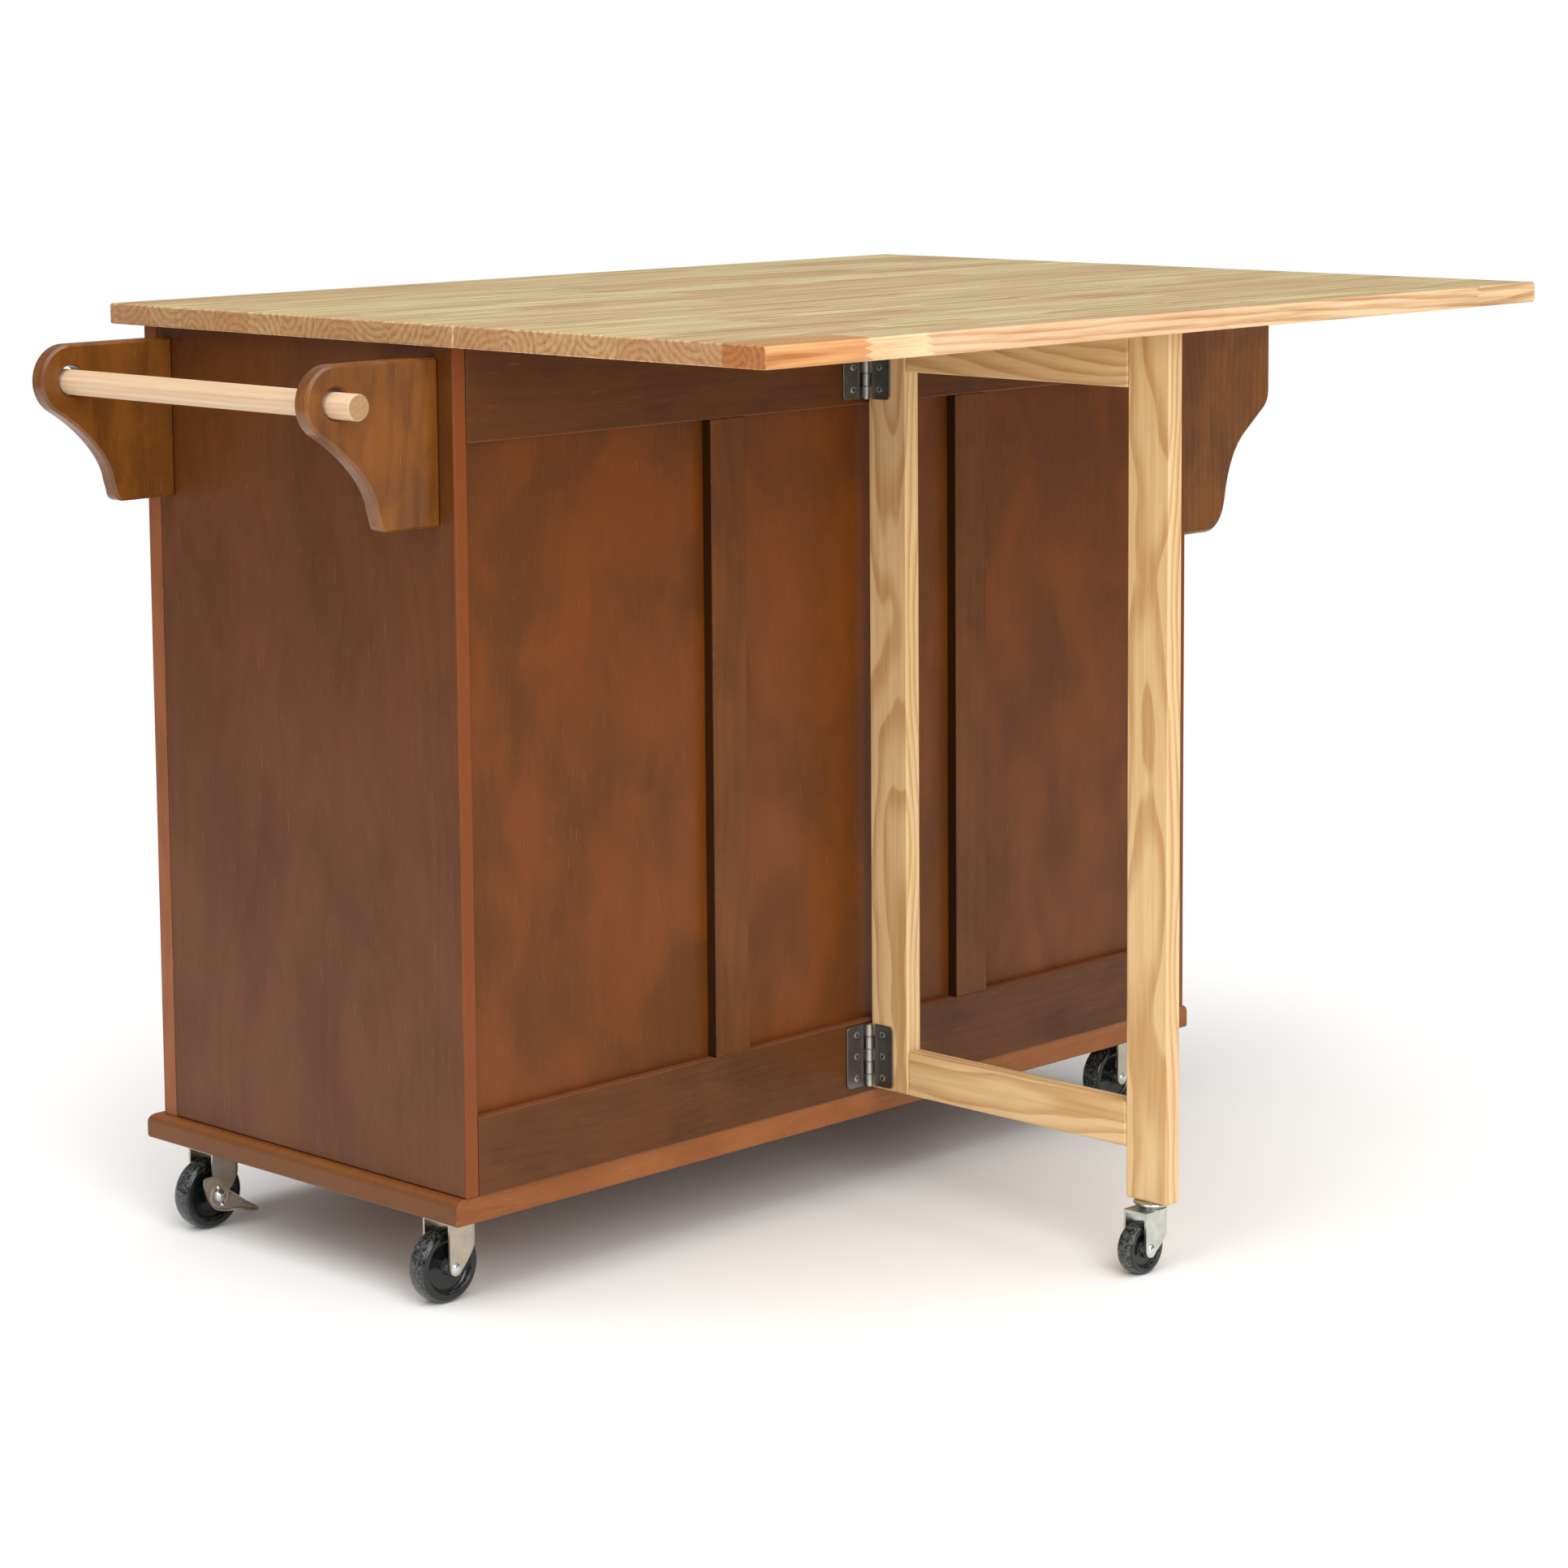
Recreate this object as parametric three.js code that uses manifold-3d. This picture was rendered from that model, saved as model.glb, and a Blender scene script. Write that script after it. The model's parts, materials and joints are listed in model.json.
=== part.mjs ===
// Kitchen island on casters, with a drop leaf carried by a gate that swings out of the back.
// Millimetres. X runs along the island towards the towel bar, Y from the doors to the leaf, Z up.
// The cabinet's back plane is y = 0 and its middle is x = 0 while it is built; the last section
// moves everything so that the origin is the middle of the whole object's footprint on the floor.

import * as THREE from 'three';
import { mergeVertices } from 'three/addons/utils/BufferGeometryUtils.js';
import Module from 'manifold-3d';

// ---------------------------------------------------------------- driving dimensions

// worktop and leaf
const counterHeight = 914;
const topThickness = 20;
const topEndOverhang = 30;
const topFrontOverhang = 14;
const topBackOverhang = 36;
const leafDepth = 386;
const leafGap = 1;

// cabinet
const cabinetLength = 1036;
const cabinetDepth = 452;
const endPanelThickness = 16;
const dividerThickness = 16;
const dividerSpacing = 345.4;
const shelfThickness = 16;
const shelfHeight = 390;
const edgeEase = 1.5;

// base board
const baseThickness = 25;
const baseOverhang = 10;
const baseFrontOverhang = 15;
const baseBackSetback = 3;
const noseTopRadius = 9;
const noseBottomRadius = 3;

// face frame, doors and drawers
const frameThickness = 19;
const frameStile = 40;
const frameInnerStile = 32;
const frameTopRail = 40;
const frameBottomRail = 30;
const drawerRail = 20;
const topDrawerHeight = 150;
const insetGap = 2;
const doorStile = 55;
const panelRecess = 7;
const fieldSlope = 24;
const fieldRise = 5.5;
const drawerWall = 12;
const drawerBottom = 6;
const drawerBackGap = 35;
const drawerHeadroom = 30;
const drawerLift = 3;
const drawerSideGap = 1.5;
const runnerHeight = 12;
const runnerReach = 26;
const knobRadius = 16;
const knobProjection = 26;
const knobInset = 28;
const doorKnobDrop = 170;
const doorBarrelRadius = 3;
const doorBarrelLength = 50;
const doorHingeInset = 90;

// back
const backRailThickness = 12;
const backPanelThickness = 6;
const backBottomRailHeight = 73.5;
const backTopRailHeight = 90;
const muntinWidth = 46;
const muntinSpacing = 346;

// racks on the two ends
const bracketThickness = 18;
const bracketEase = 2.5;
const bracketBackInset = 19;
const bracketFrontInset = 26;
const bracketDrop = 12;
const towelReach = 152;
const towelBracketHeight = 153;
const towelNoseRadius = 34;
const towelBracketFoot = 74;
const towelHoleDiameter = 28;
const towelBarDiameter = 24;
const towelBarBackEnd = 31;
const towelBarFrontEnd = 18;
const spiceReach = 170;
const spiceSideHeight = 258;
const spiceCornerRadius = 8;
const spiceBellyHeight = 149;
const spiceBellyRadius = 15;
const spiceWaistReach = 125;
const spiceWaistHeight = 101;
const spiceFoot = 93;
const spiceFootCurve = 31;
const spiceShelfThickness = 12;
const spiceLipThickness = 10;
const spiceLipHeight = 24;
const spiceUpperDrop = 105;
const spiceLowerRise = 16;
const spiceUpperDepth = 160;
const spiceLowerDepth = 80;
const spiceRailDrop = 36;
const spiceRailHeight = 24;

// gate
const gateThickness = 19.3;
const gateWidth = 380.5;
const gateMember = 50;
const gateTopRailHeight = 55.7;
const gateBottomRailHeight = 44;
const gateBackGap = 3;
const gateFootGap = 5;
const gateHingeX = -13.5;
const gateHingeLength = 63.5;
const gateHingeReach = 28.5;
const gateHingeRadius = 4;
const gateHingeFootInset = 7.6;
const gateHingeHeadInset = 21;

// leaf hinges
const leafHingeEndInset = 108;
const leafHingeLength = 60;
const leafHingeReach = 28;
const leafHingeRadius = 3;

const hingeLeafThickness = 2;
const hingeKnuckleCount = 5;
const hingeKnuckleGap = 0.3;
const hingeCornerRadius = 5;

// casters
const mountThickness = 3;
const mountWidth = 60;
const raceRadius = 18;
const raceHeight = 2.7;
const swivelGap = 0.3;
const crownThickness = 3;
const pinRadius = 4;
const pinHeadRadius = 7;
const pinHeadHeight = 2.7;
const wheelDiameter = 70;
const wheelWidth = 22;
const wheelHeadroom = 4;
const forkOuterWidth = 38;
const casterTrail = 19;
const casterEndInset = 38;
const casterBackInset = 57;
const casterFrontInset = 41;
const gateWheelDiameter = 50;
const gateWheelWidth = 18;
const gateWheelHeadroom = 5;
const gateForkOuterWidth = 28;
const gateCasterTrail = 18;
const forkSheet = 2.5;
const forkBossRadius = 7.5;
const forkNose = 12.5;
const axleRadius = 3.7;
const axleGap = 0.4;
const rivetRadius = 5.5;
const rivetHeight = 2;
const brakePlate = 2;
const brakePlateRadius = 19.5;

// clearances
const seatGap = 0.3;
const weld = 1;

// ---------------------------------------------------------------- derived heights and planes

const topUnderside = counterHeight - topThickness;
const swivelStack = mountThickness + raceHeight + swivelGap + crownThickness + swivelGap + pinHeadHeight;
const casterHeight = wheelDiameter + wheelHeadroom + swivelStack;
const gateCasterHeight = gateWheelDiameter + gateWheelHeadroom + swivelStack;
const baseTop = casterHeight + baseThickness;
const halfCabinet = cabinetLength / 2;
const halfInside = halfCabinet - endPanelThickness;
const frontFace = -cabinetDepth;
const frameBack = frontFace + frameThickness;
const backInside = -backRailThickness - backPanelThickness;
const drawerDepth = backInside - drawerBackGap - frameBack;
const dividerX = dividerSpacing / 2;
const openingLow = baseTop + frameBottomRail;
const openingHigh = topUnderside - frameTopRail;
const centreHalf = dividerX - frameInnerStile / 2;
const doorInner = dividerX + frameInnerStile / 2;
const doorOuter = halfCabinet - frameStile;
const jointLine = topBackOverhang;
const leafEdge = jointLine + leafDepth;
const knobFace = frontFace - knobProjection;
const bracketTop = topUnderside - bracketDrop;
const backBracketFace = -bracketBackInset;
const frontBracketFace = frontFace + bracketFrontInset + bracketThickness;
const bracketPlanes = { back: backBracketFace, front: frontBracketFace };
const gateHingeY = gateHingeRadius + hingeLeafThickness - weld;
const gateFaceX = gateHingeX - gateHingeRadius - hingeLeafThickness + weld;
const gateTop = topUnderside - seatGap;
const gateFoot = baseTop + gateFootGap;

const drawerHeights = lowerDrawerHeights();

function lowerDrawerHeights() {
  const rest = (openingHigh - openingLow - topDrawerHeight - 2 * drawerRail) / 2;
  return [['upper', topDrawerHeight], ['middle', rest], ['lower', rest]];
}

function drawerOpenings() {
  let high = openingHigh;
  return drawerHeights.map(([name, height]) => {
    const opening = { name, low: high - height, high };
    high -= height + drawerRail;
    return opening;
  });
}

// ---------------------------------------------------------------- materials

function finish(color, roughness, metalness = 0) {
  return new THREE.MeshStandardMaterial({ color, roughness, metalness });
}

const naturalTop = finish('#cfae82', 0.45);
const naturalGate = finish('#dcb685', 0.5);
const naturalDowel = finish('#e6c49c', 0.5);
const brownStain = finish('#73492e', 0.35);
const redStain = finish('#8a5535', 0.35);
const lightStain = finish('#a06a42', 0.35);
const drawerWood = finish('#c9a67c', 0.6);
const plywood = finish('#8a4a20', 0.5);
const nickel = finish('#c9bfae', 0.3, 1);
const zinc = finish('#cfd2cc', 0.3, 1);
const hingeSteel = finish('#6a6a6a', 0.4, 1);
const blackRubber = finish('#121515', 0.6);

// ---------------------------------------------------------------- solids from outlines

const wasm = await Module();
wasm.setup();

function solid(geometry) {
  const bare = geometry.clone();
  bare.deleteAttribute('normal');
  bare.deleteAttribute('uv');
  const merged = mergeVertices(bare, 1e-4);
  return new wasm.Manifold(new wasm.Mesh({
    numProp: 3,
    vertProperties: new Float32Array(merged.attributes.position.array),
    triVerts: new Uint32Array(merged.index.array),
  }));
}

function geometryOf(manifold) {
  const mesh = manifold.getMesh();
  const geometry = new THREE.BufferGeometry();
  geometry.setAttribute('position', new THREE.BufferAttribute(mesh.vertProperties, 3));
  geometry.setIndex(new THREE.BufferAttribute(mesh.triVerts, 1));
  return geometry;
}

function union(...geometries) {
  return geometryOf(geometries.map(solid).reduce((whole, piece) => whole.add(piece)));
}

function cut(geometry, ...tools) {
  return geometryOf(tools.map(solid).reduce((whole, tool) => whole.subtract(tool), solid(geometry)));
}

function common(geometry, other) {
  return geometryOf(solid(geometry).intersect(solid(other)));
}

// A rectangle in its own plane, with its corners cut off by a small amount.
function rectangle(u0, u1, v0, v1, corner = 0) {
  const shape = new THREE.Shape();
  shape.moveTo(u0 + corner, v0);
  shape.lineTo(u1 - corner, v0);
  if (corner > 0) shape.lineTo(u1, v0 + corner);
  shape.lineTo(u1, v1 - corner);
  if (corner > 0) shape.lineTo(u1 - corner, v1);
  shape.lineTo(u0 + corner, v1);
  if (corner > 0) shape.lineTo(u0, v1 - corner);
  shape.lineTo(u0, v0 + corner);
  shape.closePath();
  return shape;
}

// An outline given a thickness along +Z, with its two rims chamfered.
function sheet(shape, thickness, ease = 0, curveSegments = 6) {
  const geometry = new THREE.ExtrudeGeometry(shape, {
    depth: thickness - 2 * ease,
    bevelEnabled: ease > 0,
    bevelThickness: ease,
    bevelSize: ease,
    bevelOffset: -ease,
    bevelSegments: 1,
    curveSegments,
  });
  return geometry.translate(0, 0, ease);
}

// An outline drawn in X and Z that fills the space from y0 to y1.
function sheetXZ(shape, y0, y1, ease = 0, curveSegments = 6) {
  const geometry = sheet(shape, y1 - y0, ease, curveSegments);
  const turn = new THREE.Matrix4().makeBasis(
    new THREE.Vector3(1, 0, 0), new THREE.Vector3(0, 0, 1), new THREE.Vector3(0, -1, 0));
  return geometry.applyMatrix4(turn).translate(0, y1, 0);
}

// An outline drawn in Y and Z that fills the space from x0 to x1.
function sheetYZ(shape, x0, x1, ease = 0, curveSegments = 6) {
  const geometry = sheet(shape, x1 - x0, ease, curveSegments);
  const turn = new THREE.Matrix4().makeBasis(
    new THREE.Vector3(0, 1, 0), new THREE.Vector3(0, 0, 1), new THREE.Vector3(1, 0, 0));
  return geometry.applyMatrix4(turn).translate(x0, 0, 0);
}

function board(x0, x1, y0, y1, z0, z1, ease = edgeEase) {
  return sheet(rectangle(x0, x1, y0, y1, ease), z1 - z0, ease).translate(0, 0, z0);
}

function block(x0, x1, y0, y1, z0, z1) {
  const geometry = new THREE.BoxGeometry(x1 - x0, y1 - y0, z1 - z0);
  return geometry.translate((x0 + x1) / 2, (y0 + y1) / 2, (z0 + z1) / 2);
}

// A turned form: [radius, height] pairs that start and end on the axis, or close on themselves.
function turned(profile, segments = 20) {
  const points = profile.map(([radius, height]) => new THREE.Vector2(radius, height));
  return new THREE.LatheGeometry(points, segments);
}

// A turned form whose axis stands along Z.
function turnedUp(profile, segments = 20) {
  return turned(profile, segments).rotateX(Math.PI / 2);
}

const island = new THREE.Group();
const model = new THREE.Group();
island.add(model);

function add(name, geometry, material, parent = model) {
  const mesh = new THREE.Mesh(geometry, material);
  mesh.name = name;
  parent.add(mesh);
  return mesh;
}

const ends = [['towel', 1], ['spice', -1]];

// ---------------------------------------------------------------- worktop, leaf and base

function worktop() {
  const half = halfCabinet + topEndOverhang;
  const low = topUnderside;
  const nearEdge = frontFace - topFrontOverhang;
  add('main_top', board(-half, half, nearEdge, jointLine - leafGap / 2, low, counterHeight), naturalTop);
  add('drop_leaf', board(-half, half, jointLine + leafGap / 2, leafEdge, low, counterHeight), naturalTop);
}

// Outline of a board whose ends are rounded over at the top and eased below.
function nosedOutline(u0, u1, z0, z1, lowNose, highNose) {
  const shape = new THREE.Shape();
  const corner = (centreU, centreZ, radius, start) =>
    shape.absarc(centreU, centreZ, radius, start, start + Math.PI / 2, false);
  shape.moveTo(u0 + lowNose.bottom, z0);
  corner(u1 - highNose.bottom, z0 + highNose.bottom, highNose.bottom, -Math.PI / 2);
  corner(u1 - highNose.top, z1 - highNose.top, highNose.top, 0);
  corner(u0 + lowNose.top, z1 - lowNose.top, lowNose.top, Math.PI / 2);
  corner(u0 + lowNose.bottom, z0 + lowNose.bottom, lowNose.bottom, Math.PI);
  return shape;
}

function baseBoard() {
  const nose = { top: noseTopRadius, bottom: noseBottomRadius };
  const plain = { top: 1, bottom: 1 };
  const half = halfCabinet + baseOverhang;
  const y0 = frontFace - baseFrontOverhang;
  const y1 = -baseBackSetback;
  const lengthwise = nosedOutline(-half, half, casterHeight, baseTop, nose, nose);
  const crosswise = nosedOutline(y0, y1, casterHeight, baseTop, nose, plain);
  const long = sheetXZ(lengthwise, y0 - 1, y1 + 1, 0, 5);
  const cross = sheetYZ(crosswise, -half - 1, half + 1, 0, 5);
  add('base_board', common(long, cross), lightStain);
}

// ---------------------------------------------------------------- cabinet

function endPanels() {
  for (const [end, side] of ends) {
    const outer = side * halfCabinet;
    const inner = side * halfInside;
    const x0 = Math.min(outer, inner);
    const x1 = Math.max(outer, inner);
    add(`end_panel_${end}`, board(x0, x1, frameBack, 0, baseTop, topUnderside), brownStain);
  }
}

function backPanels() {
  const railTop = topUnderside - backTopRailHeight;
  const railBottom = baseTop + backBottomRailHeight;
  add('back_panel',
    block(-halfInside, halfInside, backInside, -backRailThickness, baseTop, topUnderside), plywood);
  add('back_rail_top',
    board(-halfInside, halfInside, -backRailThickness, 0, railTop, topUnderside, 1), brownStain);
  add('back_rail_bottom',
    board(-halfInside, halfInside, -backRailThickness, 0, baseTop, railBottom, 1), brownStain);
  for (const [end, side] of ends) {
    const middle = side * muntinSpacing / 2;
    add(`back_muntin_${end}`,
      board(middle - muntinWidth / 2, middle + muntinWidth / 2, -backRailThickness, 0,
        railBottom, railTop, 1), brownStain);
  }
}

// A divider carries the runners of the three drawers on its inner face.
function dividers() {
  for (const [end, side] of ends) {
    const wall = board(side * dividerX - dividerThickness / 2, side * dividerX + dividerThickness / 2,
      frameBack, backInside, baseTop, topUnderside, 0.5);
    const face = dividerX - dividerThickness / 2;
    const runners = drawerOpenings().map(({ low }) => {
      const top = low + drawerLift - seatGap;
      const near = side * (face + weld);
      const far = side * (face - runnerReach);
      return block(Math.min(near, far), Math.max(near, far), frameBack, backInside,
        top - runnerHeight, top);
    });
    add(`divider_${end}`, union(wall, ...runners), drawerWood);
  }
}

function shelves() {
  const low = baseTop + shelfHeight;
  const innerFace = dividerX + dividerThickness / 2;
  for (const [end, side] of ends) {
    const x0 = Math.min(side * innerFace, side * halfInside);
    const x1 = Math.max(side * innerFace, side * halfInside);
    add(`shelf_${end}`, board(x0, x1, frameBack, backInside, low, low + shelfThickness, 1), drawerWood);
  }
}

function faceFrame() {
  const slab = board(-halfCabinet, halfCabinet, frontFace, frameBack, baseTop, topUnderside);
  const y0 = frontFace - 1;
  const y1 = frameBack + 1;
  const doorHoles = ends.map(([, side]) => {
    const x0 = Math.min(side * doorInner, side * doorOuter);
    const x1 = Math.max(side * doorInner, side * doorOuter);
    return block(x0, x1, y0, y1, openingLow, openingHigh);
  });
  const drawerHoles = drawerOpenings().map(({ low, high }) =>
    block(-centreHalf, centreHalf, y0, y1, low, high));
  add('face_frame', cut(slab, ...doorHoles, ...drawerHoles), redStain);
}

// ---------------------------------------------------------------- doors and drawers

// A turned wooden knob on the front, sunk a little into the wood behind it.
function knob(x, z) {
  const neck = knobRadius * 0.45;
  const profile = [
    [0, -weld], [knobRadius * 0.55, -weld], [neck, knobProjection * 0.25],
    [knobRadius * 0.6, knobProjection * 0.42], [knobRadius, knobProjection * 0.62],
    [knobRadius, knobProjection * 0.8], [knobRadius * 0.7, knobProjection * 0.96], [0, knobProjection],
  ];
  return turned(profile, 16).rotateZ(Math.PI).translate(x, frontFace, z);
}

// The raised field of a door panel, its slopes running down to the recess floor.
function raisedField(x0, x1, z0, z1, floorY) {
  const geometry = new THREE.ExtrudeGeometry(rectangle(x0, x1, z0, z1), {
    depth: 1,
    bevelEnabled: true,
    bevelThickness: fieldRise,
    bevelSize: fieldSlope,
    bevelOffset: -fieldSlope,
    bevelSegments: 1,
  });
  const turn = new THREE.Matrix4().makeBasis(
    new THREE.Vector3(1, 0, 0), new THREE.Vector3(0, 0, 1), new THREE.Vector3(0, -1, 0));
  return geometry.applyMatrix4(turn).translate(0, floorY + 1, 0);
}

function doors() {
  const z0 = openingLow + insetGap;
  const z1 = openingHigh - insetGap;
  const floorY = frontFace + panelRecess;
  const pivotY = frontFace - doorBarrelRadius - seatGap;
  for (const [end, side] of ends) {
    const free = side * (doorInner + insetGap);
    const hung = side * (doorOuter - insetGap);
    const x0 = Math.min(free, hung);
    const x1 = Math.max(free, hung);
    const inner = [x0 + doorStile, x1 - doorStile, z0 + doorStile, z1 - doorStile];
    const slab = cut(board(x0, x1, frontFace, frameBack, z0, z1),
      block(inner[0], inner[1], frontFace - 1, floorY, inner[2], inner[3]));
    const field = raisedField(inner[0] + 2, inner[1] - 2, inner[2] + 2, inner[3] - 2, floorY);
    const handle = knob(free + side * knobInset, z1 - doorKnobDrop);
    const pivotX = hung + side * insetGap / 2;
    const barrels = [z0 + doorHingeInset, z1 - doorHingeInset].flatMap((middle) => {
      const low = middle - doorBarrelLength / 2;
      const high = middle + doorBarrelLength / 2;
      const barrel = new THREE.CylinderGeometry(
        doorBarrelRadius, doorBarrelRadius, doorBarrelLength, 12);
      const strap = [hung - side * weld, pivotX];
      return [
        barrel.rotateX(Math.PI / 2).translate(pivotX, pivotY, middle),
        block(Math.min(...strap), Math.max(...strap), pivotY, frameBack - 2, low, high),
      ];
    });
    add(`door_${end}`, union(slab, field, handle, ...barrels), redStain);
  }
}

function drawers() {
  for (const { name, low, high } of drawerOpenings()) {
    const front = board(-centreHalf + insetGap, centreHalf - insetGap, frontFace, frameBack,
      low + insetGap, high - insetGap);
    add(`drawer_front_${name}`, union(front, knob(0, (low + high) / 2)), redStain);
    const half = centreHalf - drawerSideGap;
    const z0 = low + drawerLift;
    const z1 = high - drawerHeadroom;
    const tray = block(-half, half, frameBack, frameBack + drawerDepth, z0, z1);
    const inside = block(-half + drawerWall, half - drawerWall, frameBack + drawerWall,
      frameBack + drawerDepth - drawerWall, z0 + drawerBottom, z1 + 1);
    add(`drawer_box_${name}`, cut(tray, inside), drawerWood);
  }
}

// ---------------------------------------------------------------- towel rack

const towelAxisX = halfCabinet + towelReach - towelNoseRadius;
const towelAxisZ = bracketTop - towelNoseRadius;

function towelBracketShape() {
  const bottom = bracketTop - towelBracketHeight;
  const foot = halfCabinet + towelBracketFoot;
  const leave = -Math.PI / 3;
  const shape = new THREE.Shape();
  shape.moveTo(halfCabinet, bottom);
  shape.lineTo(foot - 14, bottom);
  shape.quadraticCurveTo(foot - 4, bottom, foot - 3, bottom + 10);
  shape.lineTo(foot, bottom + 20);
  shape.bezierCurveTo(foot + 3, bottom + 43, towelAxisX - towelNoseRadius * 0.41, towelAxisZ - 48,
    towelAxisX + towelNoseRadius * Math.cos(leave), towelAxisZ + towelNoseRadius * Math.sin(leave));
  shape.absarc(towelAxisX, towelAxisZ, towelNoseRadius, leave, Math.PI / 2, false);
  shape.lineTo(halfCabinet, bracketTop);
  shape.closePath();
  const hole = new THREE.Path();
  hole.absarc(towelAxisX, towelAxisZ, towelHoleDiameter / 2, 0, Math.PI * 2, true);
  shape.holes.push(hole);
  return shape;
}

function towelRack() {
  for (const [place, face] of Object.entries(bracketPlanes)) {
    const bracket = sheetXZ(towelBracketShape(), face - bracketThickness, face, bracketEase, 12);
    add(`towel_bracket_${place}`, bracket, redStain);
  }
  const y0 = frontBracketFace - bracketThickness - towelBarFrontEnd;
  const y1 = backBracketFace + towelBarBackEnd;
  const radius = towelBarDiameter / 2;
  const bar = turned([[0, y0], [radius - 1, y0], [radius, y0 + 1], [radius, y1 - 1],
    [radius - 1, y1], [0, y1]], 24);
  const drop = towelHoleDiameter / 2 - radius - seatGap;
  add('towel_bar', bar.translate(towelAxisX, 0, towelAxisZ - drop), naturalDowel);
}

// ---------------------------------------------------------------- spice rack

// Outline of a spice rack side, drawn outwards from the end panel as [reach, height].
function spiceSideShape() {
  const low = bracketTop - spiceSideHeight;
  const shape = new THREE.Shape();
  const at = (reach) => -halfCabinet - reach;
  const belly = low + spiceBellyHeight;
  const waist = low + spiceWaistHeight;
  shape.moveTo(at(0), low);
  shape.lineTo(at(0), bracketTop);
  shape.lineTo(at(spiceReach - spiceCornerRadius), bracketTop);
  shape.quadraticCurveTo(at(spiceReach), bracketTop, at(spiceReach), bracketTop - spiceCornerRadius);
  shape.lineTo(at(spiceReach), belly);
  shape.quadraticCurveTo(at(spiceReach), belly - spiceBellyRadius,
    at(spiceReach - spiceBellyRadius * 0.8), belly - spiceBellyRadius * 1.5);
  shape.lineTo(at(spiceWaistReach), waist);
  shape.bezierCurveTo(at(spiceFoot + spiceFootCurve * 0.45), waist - spiceFootCurve * 0.5,
    at(spiceFoot + spiceFootCurve * 0.16), low + spiceFootCurve * 2, at(spiceFoot), low + spiceFootCurve);
  shape.bezierCurveTo(at(spiceFoot - spiceFootCurve * 0.13), low + spiceFootCurve * 0.4,
    at(spiceFoot - spiceFootCurve * 0.5), low, at(spiceFoot - spiceFootCurve), low);
  shape.closePath();
  return shape;
}

// A shelf with a lip along its outer edge, running between the two sides.
function lippedShelf(depth, z0, y0, y1) {
  const x1 = -halfCabinet;
  const x0 = x1 - depth;
  const shape = new THREE.Shape();
  shape.moveTo(x1, z0);
  shape.lineTo(x1, z0 + spiceShelfThickness);
  shape.lineTo(x0 + spiceLipThickness, z0 + spiceShelfThickness);
  shape.lineTo(x0 + spiceLipThickness, z0 + spiceShelfThickness + spiceLipHeight);
  shape.lineTo(x0 + 2, z0 + spiceShelfThickness + spiceLipHeight);
  shape.lineTo(x0, z0 + spiceShelfThickness + spiceLipHeight - 2);
  shape.lineTo(x0, z0 + 2);
  shape.lineTo(x0 + 2, z0);
  shape.closePath();
  return sheetXZ(shape, y0, y1);
}

function spiceRack() {
  for (const [place, face] of Object.entries(bracketPlanes)) {
    const sidePanel = sheetXZ(spiceSideShape(), face - bracketThickness, face, bracketEase, 6);
    add(`spice_side_${place}`, sidePanel, redStain);
  }
  const y0 = frontBracketFace;
  const y1 = backBracketFace - bracketThickness;
  const low = bracketTop - spiceSideHeight;
  add('spice_shelf_upper', lippedShelf(spiceUpperDepth, bracketTop - spiceUpperDrop -
    spiceShelfThickness, y0, y1), redStain);
  add('spice_shelf_lower', lippedShelf(spiceLowerDepth, low + spiceLowerRise, y0, y1), redStain);
  const railX = -halfCabinet - spiceUpperDepth;
  const railTop = bracketTop - spiceRailDrop;
  add('spice_rail', board(railX, railX + spiceLipThickness, y0, y1, railTop - spiceRailHeight,
    railTop), redStain);
}

// ---------------------------------------------------------------- hinges

// One half of a butt hinge. Its pin runs along Z through the origin, its leaf reaches along +X,
// and the leaf lies beside the pin on the side that the sign names.
function hingeHalf({ length, reach, radius, side, firstKnuckle }) {
  const inner = radius - weld;
  const outer = inner + hingeLeafThickness;
  const half = length / 2;
  const clear = radius + seatGap + 0.2;
  const outline = new THREE.Shape();
  outline.moveTo(clear, -half);
  outline.lineTo(reach - hingeCornerRadius, -half);
  outline.absarc(reach - hingeCornerRadius, -half + hingeCornerRadius, hingeCornerRadius,
    -Math.PI / 2, 0, false);
  outline.absarc(reach - hingeCornerRadius, half - hingeCornerRadius, hingeCornerRadius,
    0, Math.PI / 2, false);
  outline.lineTo(clear, half);
  outline.closePath();
  const y0 = Math.min(side * inner, side * outer);
  const y1 = Math.max(side * inner, side * outer);
  const pieces = [sheetXZ(outline, y0, y1, 0, 3)];
  const pitch = length / hingeKnuckleCount;
  for (let index = firstKnuckle; index < hingeKnuckleCount; index += 2) {
    const low = -half + index * pitch + (index > 0 ? hingeKnuckleGap / 2 : 0);
    const high = -half + (index + 1) * pitch - (index < hingeKnuckleCount - 1 ? hingeKnuckleGap / 2 : 0);
    const barrel = new THREE.CylinderGeometry(radius, radius, high - low, 12);
    pieces.push(barrel.rotateX(Math.PI / 2).translate(0, 0, (low + high) / 2));
    pieces.push(block(0, clear + weld, y0, y1, low, high));
  }
  return union(...pieces);
}

const fixedKnuckle = 0;
const movingKnuckle = 1;

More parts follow.
